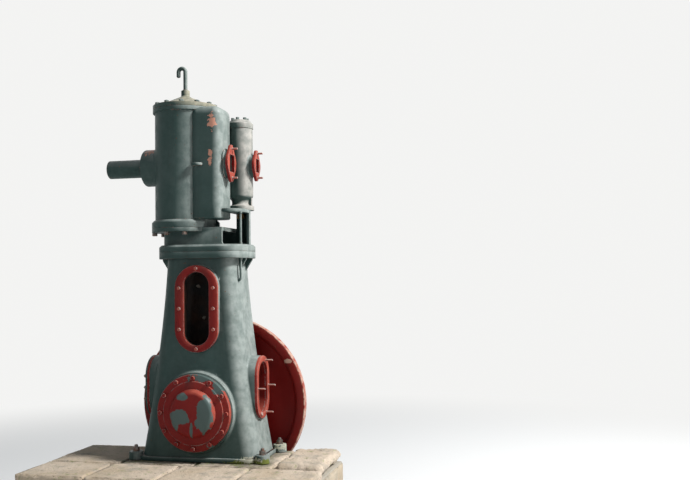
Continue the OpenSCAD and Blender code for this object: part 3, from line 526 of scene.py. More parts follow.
def circle(count=96):
    def ring(radius):
        radius = max(radius, on_axis)
        return [(radius * math.cos(2 * math.pi * k / count), radius * math.sin(2 * math.pi * k / count))
                for k in range(count)]
    return ring


def oval(half, steps=20):
    """Upright oval, drawn in by an inset."""
    def ring(inset):
        return rounded_ring(half[0] - inset, half[1] - inset, half[0] - inset - 1e-5, steps, 4)
    return ring


def tool(build):
    """A hidden solid for cutting or joining, made by build(work)."""
    work = bmesh.new()
    build(work)
    bmesh.ops.remove_doubles(work, verts=work.verts, dist=weld_gap)
    bmesh.ops.recalc_face_normals(work, faces=work.faces)
    return new_piece("tool", work)


def combined(made, tools, operation):
    """Joins the tools to the piece, or cuts them out of it, and deletes them."""
    for cutter in tools:
        modifier = made.modifiers.new("work", "BOOLEAN")
        modifier.operation = operation
        modifier.object = cutter
        modifier.solver = "EXACT"
    view = bpy.context.evaluated_depsgraph_get()
    mesh = bpy.data.meshes.new_from_object(made.evaluated_get(view))
    made.modifiers.clear()
    made.data = mesh
    for cutter in tools:
        bpy.data.objects.remove(cutter)


def smoothed(made, angle=32.0):
    """Shades smooth, with sharp edges where faces meet at more than the angle."""
    work = bmesh.new()
    work.from_mesh(made.data)
    bmesh.ops.remove_doubles(work, verts=work.verts, dist=weld_gap)
    limit = math.radians(angle)
    for face in work.faces:
        face.smooth = True
    for edge in work.edges:
        edge.smooth = len(edge.link_faces) == 2 and edge.calc_face_angle(0.0) < limit
    work.to_mesh(made.data)
    work.free()


def half_x(z):
    rise = min(max((z - plinth_top) / frame_h, 0), 1)
    return neck_half_x + (foot_half_x - neck_half_x) * (1 - rise) ** frame_sweep


def half_y(z):
    rise = min(max((z - plinth_top) / frame_h, 0), 1)
    return foot_half_y + (neck_half_y - foot_half_y) * rise


def frame_body(inset, z0, z1, levels, steps):
    def build(work):
        rings = []
        for i in range(levels + 1):
            z = z0 + (z1 - z0) * i / levels
            ring = rounded_ring(half_x(z) - inset, half_y(z) - inset, frame_corner - inset, steps, 10)
            rings.append([(x, y, z) for x, y in ring])
        skin(work, rings, False)
    return tool(build)


def slab(height, edge):
    """Side profile of a plate with rounded edges, as insets and heights."""
    return [(edge, 0), (edge * 0.3, edge * 0.3), (0, edge), (0, height - edge),
            (edge * 0.3, height - edge * 0.3), (edge, height)]


def plate(half, corner, height, z, edge):
    """Flat flange with rounded edges."""
    def outline(inset):
        return rounded_ring(half[0] - inset, half[1] - inset, corner - inset, 16, 6)

    def build(work):
        sweep(work, outline, slab(height, edge), UPRIGHT, (0, 0, z), False)
    return tool(build)


def boss(outline, rim, turn, place, face, ground, fillet, edge=cast_edge):
    """A raised seat: its root follows the ground under it with a fillet, its face is flat."""
    def build(work):
        rings = []
        steps = 5
        for k in range(-1, steps + 1):
            angle = math.radians(90 * max(k, 0) / steps)
            ring = []
            for u, v in outline(rim(-fillet * (1 - math.sin(angle)))):
                rise = fillet * (1 - math.cos(angle)) if k >= 0 else -boss_sunk
                height = min(ground(u, v) + rise, face - edge - boss_step * (steps - k))
                ring.append(turn @ Vector((u, v, height)) + Vector(place))
            rings.append(ring)
        for inset, height in ((0, face - edge), (edge * 0.3, face - edge * 0.3), (edge, face)):
            rings.append([turn @ Vector((u, v, height)) + Vector(place) for u, v in outline(rim(inset))])
        skin(work, rings, False)
    return tool(build)


def round_rim(radius):
    """Turns an inset into the radius that a circle's outline takes."""
    return lambda inset: radius - inset


def prism(outline, low, high, turn, place):
    def build(work):
        sweep(work, outline, [(0, low), (0, high)], turn, place, False)
    return tool(build)


def drum(radius, low, high, turn, place, count=96):
    def build(work):
        sweep(work, circle(count), [(radius, low), (radius, high)], turn, place, False)
    return tool(build)


def gusset(side, y):
    def build(work):
        root_x = neck_half_x - frame_wall / 2
        top_z = frame_top - joint_t + 0.001
        section = [(root_x, top_z), (root_x, top_z - gusset_h), (neck_half_x + 0.006, top_z - gusset_h),
                   (neck_half_x + gusset_out, top_z - 0.012), (neck_half_x + gusset_out, top_z)]
        rings = []
        for inset, depth in ((0.003, 0), (0, 0.003), (0, gusset_t - 0.003), (0.003, gusset_t)):
            rings.append([(side * (x - (inset if x > neck_half_x else 0)), y - gusset_t / 2 + depth, z)
                          for x, z in section])
        skin(work, rings, False)
    return tool(build)


def oval_rim(inset):
    """An oval's outline takes the inset as it is."""
    return inset


def edge_mask(tree, radius, low, high):
    """Rises along the edges: where a rounded normal turns away from the face's own."""
    rounded_normal = node(tree, "ShaderNodeBevel", {"Radius": radius}, samples=4).outputs[0]
    own = node(tree, "ShaderNodeNewGeometry", {}).outputs["Normal"]
    match = node(tree, "ShaderNodeVectorMath", {0: rounded_normal, 1: own}, operation="DOT_PRODUCT")
    return ramp(tree, match.outputs["Value"], 1.0 - low, 1.0 - high)


def old_paint(name, fresh, faded_and_sunlit, under, rust, wear=0.5, shift=0.0):
    """Weathered gloss paint on cast iron: chalked by rain, and paler on the sun-facing side as
    sun bleaching and painted sunlight; streaked with grime, worn and rusting at its edges."""
    material, tree, shader = new_material(name)
    shader.inputs["Specular IOR Level"].default_value = paint_sheen
    # Painted sunlight as well as sun bleaching: faces turned to sun_side, the key lamp's side, take the paler
    # colour.
    light_facing = node(tree, "ShaderNodeVectorMath", {0: node(tree, "ShaderNodeNewGeometry", {}).outputs["Normal"],
                                                 1: sun_side}, operation="DOT_PRODUCT")
    sunlit_and_bleached = ramp(tree, light_facing.outputs["Value"], 0.25, 0.72)
    cloudy = ramp(tree, cloud(tree, 3.0, detail=5.0, shift=shift), 0.40, 0.75)
    chalk_and_sunlight = node(tree, "ShaderNodeMath", {0: product(tree, cloudy, 0.10), 1: sunlit_and_bleached}, operation="MAXIMUM")
    uneven = cloud(tree, 16.0, detail=6.0, rough=0.6, shift=shift + 3)
    patchy = node(tree, "ShaderNodeMapRange", {"Value": uneven, "From Min": 0.35, "From Max": 0.60,
                                               "To Min": 0.55}).outputs[0]
    colour = blend(tree, product(tree, chalk_and_sunlight.outputs[0], patchy), fresh, faded_and_sunlit)
    mottle = ramp(tree, cloud(tree, 24.0, detail=7.0, rough=0.65, shift=shift + 2), 0.42, 0.70)
    colour = blend(tree, product(tree, mottle, 0.05), colour, faded_and_sunlit)
    run = ramp(tree, cloud(tree, 9.0, detail=6.0, stretch=(1, 1, 0.12), shift=shift + 5), 0.52, 0.78)
    colour = blend(tree, product(tree, run, 0.45), colour, paint_grime)
    edge = edge_mask(tree, 0.008, 0.02, 0.25)
    rub = ramp(tree, cloud(tree, 30.0, detail=6.0, rough=0.7, shift=shift + 9),
               0.60 - 0.2 * wear, 0.72 - 0.2 * wear)
    worn = product(tree, edge, rub)
    colour = blend(tree, worn, colour, under)
    spots = ramp(tree, cloud(tree, 55.0, detail=3.0, rough=0.5, shift=shift + 14), 0.735 - 0.04 * wear, 0.76)
    colour = blend(tree, spots, colour, rust)
    tree.links.new(colour, shader.inputs["Base Color"])
    gloss = node(tree, "ShaderNodeMapRange", {"Value": mottle, "To Min": 0.36, "To Max": 0.62}).outputs[0]
    tree.links.new(gloss, shader.inputs["Roughness"])
    gone = node(tree, "ShaderNodeMath", {0: worn, 1: spots}, operation="MAXIMUM").outputs[0]
    bumped(tree, shader, ((cloud(tree, 12.0, detail=3.0), 0.35, 0.004),
                          (cloud(tree, 160.0, detail=3.0), 0.25, 0.0009),
                          (product(tree, gone, -1.0), 0.6, 0.0008)))
    return material, tree, shader, colour


def patch(tree, centre, radii, ragged=0.45, scale=40.0):
    """A ragged mask that is 1 inside an ellipsoid of the given centre and radii, in metres."""
    place = node(tree, "ShaderNodeTexCoord", {}).outputs["Object"]
    shrink = [1 / radius for radius in radii]
    moved = [-middle * share for middle, share in zip(centre, shrink)]
    mapped = node(tree, "ShaderNodeMapping", {"Vector": place, "Scale": shrink, "Location": moved})
    reach = node(tree, "ShaderNodeVectorMath", {0: mapped.outputs[0]}, operation="LENGTH").outputs["Value"]
    torn = product(tree, ramp(tree, cloud(tree, scale, detail=5.0, rough=0.6), 0.30, 0.70), 2 * ragged)
    total = node(tree, "ShaderNodeMath", {0: reach, 1: torn}, operation="ADD").outputs[0]
    return ramp(tree, total, 1.03 + ragged, 0.97 + ragged)


def patched(paint, places, over, ragged=0.45, scale=40.0):
    """Lays one more colour over a paint in each place, a centre and radii."""
    material, tree, shader, colour = paint
    for centre, radii in places:
        colour = blend(tree, patch(tree, centre, radii, ragged, scale), colour, over)
    tree.links.new(colour, shader.inputs["Base Color"])
    return material, tree, shader, colour


red_paint = old_paint("red_paint", red_fresh, red_faded, paint_faded, rust_brown, wear=0.9, shift=20.0)[0]
# Nearly black oily inside, which also stands for painted shade inside the hollow castings and the front door
# way.
inside_mat, inside_tree, inside_shader = new_material("oily_and_shaded_inside")
inside_rust = ramp(inside_tree, cloud(inside_tree, 7.0, detail=6.0), 0.45, 0.80)
inside_colour = blend(inside_tree, product(inside_tree, inside_rust, 0.6), oil_and_shade_dark, rust_brown)
inside_mat = patched((inside_mat, inside_tree, inside_shader, inside_colour), inside_pale_specks, speck_pale,
                     ragged=0.5, scale=60.0)[0]
inside_shader.inputs["Roughness"].default_value = 0.6
bumped(inside_tree, inside_shader, ((cloud(inside_tree, 90.0, detail=5.0), 0.5, 0.002),))

casting = frame_body(0, plinth_top, frame_top - 0.02, levels=56, steps=14)
casting.name = "frame_casting"
foot_half = (foot_half_x + foot_lip, foot_half_y + foot_lip)
joined = [plate(foot_half, frame_corner, foot_t, plinth_top, cast_edge),
          plate((joint_half_x, joint_half_y), joint_corner, joint_t, frame_top - joint_t, joint_edge)]


def front_wall(z):
    """The front wall's distance from the middle, for points at height v over z."""
    return lambda u, v: half_y(z + v)


def side_wall(z):
    """The side wall's distance from the middle, which falls away round the corners."""
    def wall(u, v):
        past = max(abs(u) - (half_y(z + v) - frame_corner), 0)
        return half_x(z + v) - frame_corner + math.sqrt(max(frame_corner ** 2 - past ** 2, 0))
    return wall


joined.append(boss(circle(128), round_rim(boss_r), FRONT, (0, 0, crank_z), boss_face, front_wall(crank_z),
                   cast_fillet))
joined.append(boss(circle(96), round_rim(rear_boss_r), BACK, (0, 0, crank_z), rear_boss_face,
                   lambda u, v: half_y(crank_z - v), rear_fillet))
joined.append(boss(oval(front_door_half), oval_rim, FRONT, (0, 0, front_door_z), front_door_seat,
                   front_wall(front_door_z), door_fillet))
for side, turn in ((1, RIGHT), (-1, LEFT)):
    joined.append(boss(oval(side_door_half), oval_rim, turn, (0, 0, side_door_z), side_door_seat,
                       side_wall(side_door_z), cast_fillet))
    for y in (-gusset_y, gusset_y):
        joined.append(gusset(side, y))
for sx in (-1, 1):
    for sy in (-1, 1):
        joined.append(boss(circle(40), round_rim(lug_r), UPRIGHT, (sx * lug_x, sy * lug_y, plinth_top), lug_h,
                           lambda u, v: lug_root, lug_fillet))
combined(casting, joined, "UNION")
ways = [frame_body(frame_wall, plinth_top + foot_t, frame_top + 0.01, levels=30, steps=8),
        drum(bearing_bore, -bearing_cut, bore_past, FRONT, (0, -boss_face, crank_z)),
        drum(rear_bore, -rear_cut, bore_past, BACK, (0, rear_boss_face, crank_z)),
        prism(oval(front_way_half), -front_way_cut, way_past, FRONT, (0, -front_door_seat, front_door_z)),
        prism(oval(side_way_half), -side_way_cut, way_past, RIGHT, (side_door_seat, 0, side_door_z)),
        prism(oval(side_way_half), -side_way_cut, way_past, LEFT, (-side_door_seat, 0, side_door_z))]
for sx in (-1, 1):
    for sy in (-1, 1):
        ways.append(drum(bolt_hole_r, -0.01, 0.1, UPRIGHT, (sx * lug_x, sy * lug_y, plinth_top), 24))
combined(casting, ways, "DIFFERENCE")
smoothed(casting)
frame_paint = old_paint("frame_paint", paint_green, paint_faded, rust_brown, rust_brown)
frame_paint = patched(frame_paint, foot_moss, moss_green, ragged=0.8, scale=55.0)
frame_paint = patched(frame_paint, foot_lichen, lichen_pale, ragged=0.8, scale=70.0)[0]
settle(casting, frame_paint, ["engine_frame"])
casting.data.materials.append(inside_mat)
casting.data.materials.append(red_paint)


def in_oval(u, v, half):
    return math.hypot(u, max(abs(v) - half[1] + half[0], 0)) < half[0] + 0.001


# Faces inside the casting and in the front door way take the dark inside material: painted shade as well as
# oil. The side door ways are red.
for face in casting.data.polygons:
    middle = face.center
    past_x = max(abs(middle.x) - half_x(middle.z) + frame_corner, 0)
    past_y = max(abs(middle.y) - half_y(middle.z) + frame_corner, 0)
    if math.hypot(past_x, past_y) < frame_corner - 0.7 * frame_wall and middle.z > plinth_top + 0.01:
        face.material_index = inside_slot
    elif middle.y < 0 and in_oval(middle.x, middle.z - front_door_z, front_way_half):
        face.material_index = inside_slot
    elif abs(middle.x) > 0.2 and in_oval(middle.y, middle.z - side_door_z, side_way_half):
        face.material_index = red_slot

# Holding-down bolts
# Black steel bolts through the four lugs, each with a washer and a hex nut. They are rusted,
# and the paint on them is gone.
holding_bolt_r = 0.012
holding_nut_af, holding_nut_h, holding_end = 0.038, 0.024, 0.018
washer_r, washer_t = 0.023, 0.003
steel_grey = (0.150, 0.140, 0.130, 1)
rust_orange = (0.260, 0.095, 0.035, 1)


def shaped(name, build):
    """A piece made by build(work), with its doubles merged and its normals outwards."""
    made = tool(build)
    made.name = name
    made.data.name = name
    return made


def rusty_steel(name, bare, amount):
    material, tree, shader = new_material(name)
    bloom = ramp(tree, cloud(tree, 34.0, detail=7.0, rough=0.7), 0.62 - amount, 0.80 - amount)
    grain = blend(tree, ramp(tree, cloud(tree, 140.0, detail=3.0), 0.3, 0.7), rust_brown, rust_orange)
    colour = blend(tree, bloom, bare, grain)
    tree.links.new(colour, shader.inputs["Base Color"])
    for socket, clean, rusted in (("Metallic", 0.7, 0.0), ("Roughness", 0.38, 0.9)):
        level = node(tree, "ShaderNodeMapRange", {"Value": bloom, "To Min": clean, "To Max": rusted})
        tree.links.new(level.outputs[0], shader.inputs[socket])
    bumped(tree, shader, ((cloud(tree, 260.0, detail=4.0), 0.5, 0.0006),))
    return material


def hexagon(af, count=24):
    """Ring on a hexagon with the given size across flats, drawn in and rounded by the inset."""
    def ring(inset):
        points = []
        for k in range(count):
            turn = 2 * math.pi * k / count
            flat = (af / 2) / math.cos((turn + math.pi / 6) % (math.pi / 3) - math.pi / 6)
            radius = min(flat, af / math.sqrt(3) - inset)
            points.append((radius * math.cos(turn), radius * math.sin(turn)))
        return points
    return ring


def hex_nut(work, af, height, turn, place):
    chamfer = af * (1 / math.sqrt(3) - 0.5)
    profile = [(chamfer, 0), (0, chamfer * 0.5), (0, height - chamfer * 0.5), (chamfer, height)]
    sweep(work, hexagon(af), profile, turn, place, False)


def stud(work, radius, start, end, turn, place):
    """Round bar between two heights, chamfered at its outer end."""
    profile = [(radius, start), (radius, end - radius * 0.25), (radius * 0.75, end)]
    sweep(work, circle(20), profile, turn, place, False)


rusty_bolts = rusty_steel("rusty_steel", steel_grey, amount=0.16)


def holding_bolts(work):
    for sx in (-1, 1):
        for sy in (-1, 1):
            foot = (sx * lug_x, sy * lug_y, plinth_top)
            stud(work, holding_bolt_r, 0.0, lug_h + holding_nut_h + holding_end, UPRIGHT, foot)
            head = (foot[0], foot[1], plinth_top + lug_h)
            washer = [(washer_r, 0.0), (washer_r, washer_t), (washer_r - 0.001, washer_t + 0.001)]
            sweep(work, circle(40), washer, UPRIGHT, head, False)
            hex_nut(work, holding_nut_af, holding_nut_h, UPRIGHT, (head[0], head[1], head[2] + washer_t))


bolts = shaped("holding_down_bolts", holding_bolts)
smoothed(bolts)
settle(bolts, rusty_bolts, ["holding_down_bolts"])

# Front bearing cover
# A turned cast-iron cover with a raised face, bolted to the front boss, and a round cap over
# the journal. Both are painted red, and the paint has peeled off parts of them.
cover_r, cover_t = 0.250, 0.032
step_r, step_t = 0.206, 0.007
bush_r = 0.068
spigot_l = 0.044
bare_grey = (0.085, 0.120, 0.112, 1)
cap_r, cap_face_r, cap_t = 0.157, 0.136, 0.036
cover_bolt_count, cover_bolt_af, cover_bolt_h = 12, 0.026, 0.0156
cover_bolt_ring = (cover_r + step_r) / 2
cover_peeled = [((0.095, -0.28, crank_z + 0.232), (0.115, 0.1, 0.030)),
                ((0.175, -0.28, crank_z + 0.165), (0.040, 0.1, 0.050)),
                ((0.120, -0.28, crank_z - 0.205), (0.030, 0.1, 0.018))]
cap_peeled = [((-0.070, -0.32, crank_z - 0.012), (0.066, 0.2, 0.050)),
              ((-0.112, -0.32, crank_z - 0.078), (0.026, 0.2, 0.044)),
              ((0.086, -0.32, crank_z + 0.006), (0.054, 0.2, 0.122)),
              ((-0.062, -0.32, crank_z + 0.112), (0.042, 0.2, 0.020)),
              ((0.004, -0.32, crank_z - 0.104), (0.011, 0.2, 0.046))]


def soft(points, setback, steps=3):
    """The closed profile with its corners rounded, where a setback is given."""
    if not isinstance(setback, (list, tuple)):
        setback = [setback] * len(points)
    rounded = []
    for i, point in enumerate(points):
        here = Vector(point)
        if setback[i] <= 0 or here.x < 2 * on_axis:
            rounded.append((here.x, here.y))
            continue
        before = Vector(points[i - 1])
        after = Vector(points[(i + 1) % len(points)])
        back = min(setback[i], 0.45 * (before - here).length)
        on = min(setback[i], 0.45 * (after - here).length)
        start = here + (before - here).normalized() * back
        end = here + (after - here).normalized() * on
        for k in range(steps + 1):
            t = k / steps
            spot = start * (1 - t) ** 2 + here * 2 * t * (1 - t) + end * t ** 2
            rounded.append((spot.x, spot.y))
    return rounded


def bearing_cover(work):
    section = [(bush_r, -spigot_l), (bearing_bore, -spigot_l), (bearing_bore, 0), (cover_r, 0),
               (cover_r, cover_t), (step_r, cover_t), (step_r, cover_t + step_t), (bush_r, cover_t + step_t)]
    sweep(work, circle(160), soft(section, [0, 0.002, 0, 0.001, 0.005, 0.003, 0.003, 0]), FRONT,
          (0, -boss_face, crank_z))


cover = shaped("front_bearing_cover", bearing_cover)
smoothed(cover)
cover_paint = old_paint("cover_paint", red_fresh, red_faded, paint_faded, rust_brown, wear=0.9, shift=20.0)
cover_paint = patched(cover_paint, cover_peeled, bare_grey, ragged=0.5, scale=30.0)[0]
settle(cover, cover_paint, ["front_bearing_cover"])

cap_paint = old_paint("peeled_red_paint", red_fresh, red_faded, paint_faded, rust_brown, wear=0.9, shift=20.0)
cap_paint = patched(cap_paint, cap_peeled, bare_grey, ragged=0.38, scale=15.0)[0]


def bearing_cap(work):
    section = [(on_axis, 0), (cap_r, 0), (cap_r, cap_t * 0.25), (cap_face_r + 0.006, cap_t * 0.85),
               (cap_face_r - 0.006, cap_t), (on_axis, cap_t)]
    sweep(work, circle(128), soft(section, [0, 0, 0.004, 0.004, 0.006, 0]), FRONT,
          (0, -(boss_face + cover_t + step_t), crank_z))


cap = shaped("front_bearing_cap", bearing_cap)
smoothed(cap)
settle(cap, cap_paint, ["front_bearing_cap"])


def cover_bolt_heads(work):
    for i in range(cover_bolt_count):
        turn = 2 * math.pi * i / cover_bolt_count
        x, z = math.sin(turn) * cover_bolt_ring, crank_z + math.cos(turn) * cover_bolt_ring
        hex_nut(work, cover_bolt_af, cover_bolt_h, FRONT, (x, -(boss_face + cover_t), z))


cover_bolts = shaped("front_cover_bolts", cover_bolt_heads)
smoothed(cover_bolts)
settle(cover_bolts, red_paint, ["front_cover_bolts"])

# Rear bearing
# The same kind of turned housing behind the crankcase, left grey-green, with a bronze bush in
# each bearing. The flywheel hides it from most sides.
housing_r, housing_t, housing_spigot = 0.150, 0.013, 0.036
journal_r = 0.050
front_journal_end = 0.272
bore_gap = 0.0002
bronze_bare = (0.420, 0.240, 0.085, 1)


def rear_housing(work):
    section = [(bush_r, -housing_spigot), (rear_bore, -housing_spigot), (rear_bore, 0), (housing_r, 0),
               (housing_r, housing_t), (bush_r, housing_t)]
    sweep(work, circle(96), soft(section, [0, 0.002, 0, 0.001, 0.003, 0]), BACK, (0, rear_boss_face, crank_z))


grey_paint = old_paint("grey_green_paint", paint_green, paint_faded, rust_brown, rust_brown)[0]
housing = shaped("rear_bearing_housing", rear_housing)
smoothed(housing)
settle(housing, grey_paint, ["rear_bearing_housing"])

bronze, bronze_tree, bronze_shader = new_material("old_bronze")
bronze_colour = blend(bronze_tree, ramp(bronze_tree, cloud(bronze_tree, 60.0, detail=6.0), 0.4, 0.7),
                      bronze_bare, oil_and_shade_dark)
bronze_tree.links.new(bronze_colour, bronze_shader.inputs["Base Color"])
bronze_shader.inputs["Metallic"].default_value = 0.8
bronze_shader.inputs["Roughness"].default_value = 0.45
bumped(bronze_tree, bronze_shader, ((cloud(bronze_tree, 200.0, detail=3.0), 0.3, 0.0005),))


def bush(name, turn, start, end):
    def build(work):
        section = [(journal_r + bore_gap, start), (bush_r, start), (bush_r, end), (journal_r + bore_gap, end)]
        sweep(work, circle(72), soft(section, 0.0015), turn, (0, 0, crank_z))
    made = shaped(name, build)
    smoothed(made)
    settle(made, bronze, [name])


bush("front_bush", FRONT, boss_face - spigot_l, front_journal_end)
bush("rear_bush", BACK, rear_boss_face - housing_spigot, rear_boss_face + housing_t)

# Crankshaft
# Forged steel shaft with two disc webs and one pin between them, turned on its journals. It
# shows dark and rusted through the side door, and it turns with the flywheel.
web_r, web_t, web_gap = 0.160, 0.048, 0.096
pin_r, throw = 0.042, 0.100
shaft_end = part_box("crankshaft")[1][1]
shaft_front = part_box("crankshaft")[0][1]
steel_dark = (0.090, 0.082, 0.075, 1)
dark_steel = rusty_steel("dark_rusty_steel", steel_dark, amount=0.10)


def shaft(work):
    web_out = web_gap / 2 + web_t
    root = web_out - 0.001
    for turn, end, rounding in ((BACK, shaft_end, 0.004), (FRONT, -shaft_front, 0.003)):
        section = [(on_axis, root), (journal_r, root), (journal_r, end), (on_axis, end)]
        sweep(work, circle(72), soft(section, [0, 0, rounding, 0]), turn, (0, 0, crank_z))
    for start in (-web_out, web_gap / 2):
        section = [(on_axis, start), (web_r, start), (web_r, start + web_t), (on_axis, start + web_t)]
        sweep(work, circle(128), soft(section, [0, 0.005, 0.005, 0]), BACK, (0, 0, crank_z))
    pin = [(on_axis, -web_gap / 2 - 0.001), (pin_r, -web_gap / 2 - 0.001), (pin_r, web_gap / 2 + 0.001),
           (on_axis, web_gap / 2 + 0.001)]
    sweep(work, circle(64), pin, BACK, (0, 0, crank_z + throw))


crankshaft = shaped("crankshaft", shaft)
smoothed(crankshaft)
settle(crankshaft, dark_steel, ["crankshaft"], "rotor")

# Flywheel
# A plate wheel cast in one with its rim and hub, bored and keyed on the shaft. It is painted
# red, darker on the plate than on the rim; the pale ring along the rim's edge is worn paint
# and a painted highlight.
wheel_r = 0.600
wheel_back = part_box("flywheel")[1][1]
wheel_front = 0.264
rim_w, rim_d, rim_slope = 0.056, 0.058, 0.016
web_recess = 0.017
wheel_hub_r, hub_proud = 0.105, 0.010
key_w, key_h, key_l = 0.022, 0.0154, 0.040
red_dark = (0.180, 0.006, 0.005, 1)
pale_wear_and_highlight = (0.480, 0.300, 0.230, 1)
rim_chip = ((0.481, wheel_front, 1.027), (0.030, 0.02, 0.016))

wheel_paint, wheel_tree, wheel_shader, wheel_colour = old_paint(
    "flywheel_paint", red_fresh, red_faded, steel_grey, rust_brown, wear=0.6, shift=33.0)
wheel_place = node(wheel_tree, "ShaderNodeTexCoord", {}).outputs["Object"]
wheel_centre = node(wheel_tree, "ShaderNodeVectorMath", {0: wheel_place, 1: (0, 0, -crank_z)})
wheel_flat = node(wheel_tree, "ShaderNodeVectorMath", {0: wheel_centre.outputs[0], 1: (1, 0, 1)},
                  operation="MULTIPLY")
wheel_reach = node(wheel_tree, "ShaderNodeVectorMath", {0: wheel_flat.outputs[0]}, operation="LENGTH")
plate_mask = ramp(wheel_tree, wheel_reach.outputs["Value"], wheel_r - rim_d, wheel_r - rim_d - rim_slope)
wheel_colour = blend(wheel_tree, product(wheel_tree, plate_mask, 0.75), wheel_colour, red_dark)
# Thin pale ring at the rim's edge, torn by noise: worn paint and a painted highlight.
pale_edge_wear_and_highlight = ramp(wheel_tree, wheel_reach.outputs["Value"], wheel_r - 0.009, wheel_r - 0.004)
edge_torn = ramp(wheel_tree, cloud(wheel_tree, 20.0, detail=6.0, rough=0.7), 0.42, 0.56)
wheel_colour = blend(wheel_tree, product(wheel_tree, pale_edge_wear_and_highlight, edge_torn), wheel_colour, pale_wear_and_highlight)
wheel_colour = blend(wheel_tree, patch(wheel_tree, *rim_chip), wheel_colour, pale_wear_and_highlight)
wheel_tree.links.new(wheel_colour, wheel_shader.inputs["Base Color"])


def wheel(work):
    rim_in = wheel_r - rim_d
    hub_low, hub_top = -hub_proud, rim_w + hub_proud
    low, top = web_recess, rim_w - web_recess
    section = [(journal_r + bore_gap, hub_low), (wheel_hub_r, hub_low), (wheel_hub_r, low),
               (rim_in - rim_slope, low), (rim_in, 0), (wheel_r, 0), (wheel_r, rim_w), (rim_in, rim_w),
               (rim_in - rim_slope, top), (wheel_hub_r, top), (wheel_hub_r, hub_top),
               (journal_r + bore_gap, hub_top)]
    turns = [0, 0.005, 0.008, 0.008, 0.006, 0.005, 0.005, 0.006, 0.008, 0.008, 0.005, 0]
    sweep(work, circle(224), soft(section, turns), BACK, (0, wheel_front, crank_z))


def key_slot(work):
    low = Vector((-key_w / 2, wheel_back - key_l, crank_z + journal_r - 0.002))
    high = Vector((key_w / 2, wheel_back + 0.01, crank_z + journal_r + key_h))
    bmesh.ops.create_cube(work, size=1.0, matrix=Matrix.Translation((low + high) / 2)
                          @ Matrix.Diagonal(high - low).to_4x4())


flywheel = shaped("flywheel", wheel)
combined(flywheel, [tool(key_slot)], "DIFFERENCE")
smoothed(flywheel)
settle(flywheel, wheel_paint, ["flywheel"], "rotor")


def bevelled_copy(name, width, segments=2, angle=30.0):
    """A node's own solid with every sharp edge broken, for pieces whose plain form is right."""
    work = bmesh.new()
    work.from_mesh(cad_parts[name].data)
    bmesh.ops.remove_doubles(work, verts=work.verts, dist=weld_gap)
    bmesh.ops.dissolve_limit(work, angle_limit=math.radians(0.4), verts=work.verts, edges=work.edges)
    sharp = [edge for edge in work.edges
             if len(edge.link_faces) == 2 and edge.calc_face_angle(0.0) > math.radians(angle)]
    bmesh.ops.bevel(work, geom=sharp, offset=width, segments=segments, profile=0.5, affect="EDGES",
                    clamp_overlap=True)
    made = new_piece(name, work)
    smoothed(made, angle)
    return made


key = bevelled_copy("flywheel_key", 0.0015)
settle(key, dark_steel, ["flywheel_key"], "rotor")

# Front door
# A flat oval cast frame screwed to the column's seat with eight bolts, painted red like the
# covers. Its door is gone, so the dark inside of the column shows.
door_t = 0.018
front_band = (0.062, 0.045)
door_bolt_af, door_bolt_h = 0.0208, 0.0096
bolt_pale = (0.55, 0.45, 0.40, 1)


def oval_frame(half, way_half, face, turn, z):
    """Flat ring between two ovals, with rounded edges."""
    def build(work):
        edge = 0.003
        side = [(0, 0), (0, door_t - edge), (edge * 0.3, door_t - edge * 0.3), (edge, door_t)]
        outer = [(oval(half, 24), inset, height) for inset, height in side]
        inner = [(oval(way_half, 24), -inset, height) for inset, height in reversed(side)]
        rings = []
        for outline, inset, height in outer + inner:
            rings.append([turn @ Vector((u, v, face + height)) + Vector((0, 0, z))
                          for u, v in outline(inset)])
        skin(work, rings, True)
    return build


def door_spots(half, band):
    """Places of the eight fasteners round an oval door, in its own plane."""
    spots = [(0, side * (half[1] - band[1] / 2)) for side in (-1, 1)]
    for side in (-1, 1):
        for row in (-1, 0, 1):
            spots.append((side * (half[0] - band[0] / 2), row * (half[1] - half[0])))
    return spots


front_frame = shaped("front_door_frame", oval_frame(front_door_half, front_way_half, front_door_seat, FRONT,
                                                    front_door_z))
smoothed(front_frame)
settle(front_frame, red_paint, ["front_door_frame"])

bolt_metal = old_paint("worn_bolt_paint", red_faded, bolt_pale, steel_grey, rust_orange,
                       wear=1.0, shift=41.0)[0]


def front_bolt_heads(work):
    for u, v in door_spots(front_door_half, front_band):
        spot = FRONT @ Vector((u, v, front_door_seat + door_t)) + Vector((0, 0, front_door_z))
        hex_nut(work, door_bolt_af, door_bolt_h, FRONT, spot)


front_bolts = shaped("front_door_bolts", front_bolt_heads)
smoothed(front_bolts)
settle(front_bolts, bolt_metal, ["front_door_studs"])

# Side doors
# Oval frames on the two flared seats of the crankcase. The right one is open: four of its long
# studs are bare, one is broken short and the others are gone. The left one is closed by a plate.
side_band = (0.040, 0.040)
side_stud_r, side_stud_out = 0.006, 0.048
broken_stud_r, broken_stud_out = 0.013, 0.012
stud_turns = (0, 60, 180, 300)
broken_turn = 240
door_plate_t = 0.012
left_nut_h, left_stud_end = 0.012, 0.018

right_frame = shaped("right_door_frame", oval_frame(side_door_half, side_way_half, side_door_seat, RIGHT,
                                                    side_door_z))
smoothed(right_frame)
settle(right_frame, red_paint, ["side_door_frame"])


def side_spot(turn):
    """Place of a stud at an angle from the rear edge, on the face of the right door frame."""
    ring = side_door_half[0] - side_band[0] / 2
    angle = math.radians(turn)
    straight = 0 if turn % 180 == 0 else math.copysign(side_door_half[1] - side_door_half[0], math.sin(angle))
    spot = Vector((ring * math.cos(angle), ring * math.sin(angle) + straight, side_door_seat + door_t))
    return RIGHT @ spot + Vector((0, 0, side_door_z))


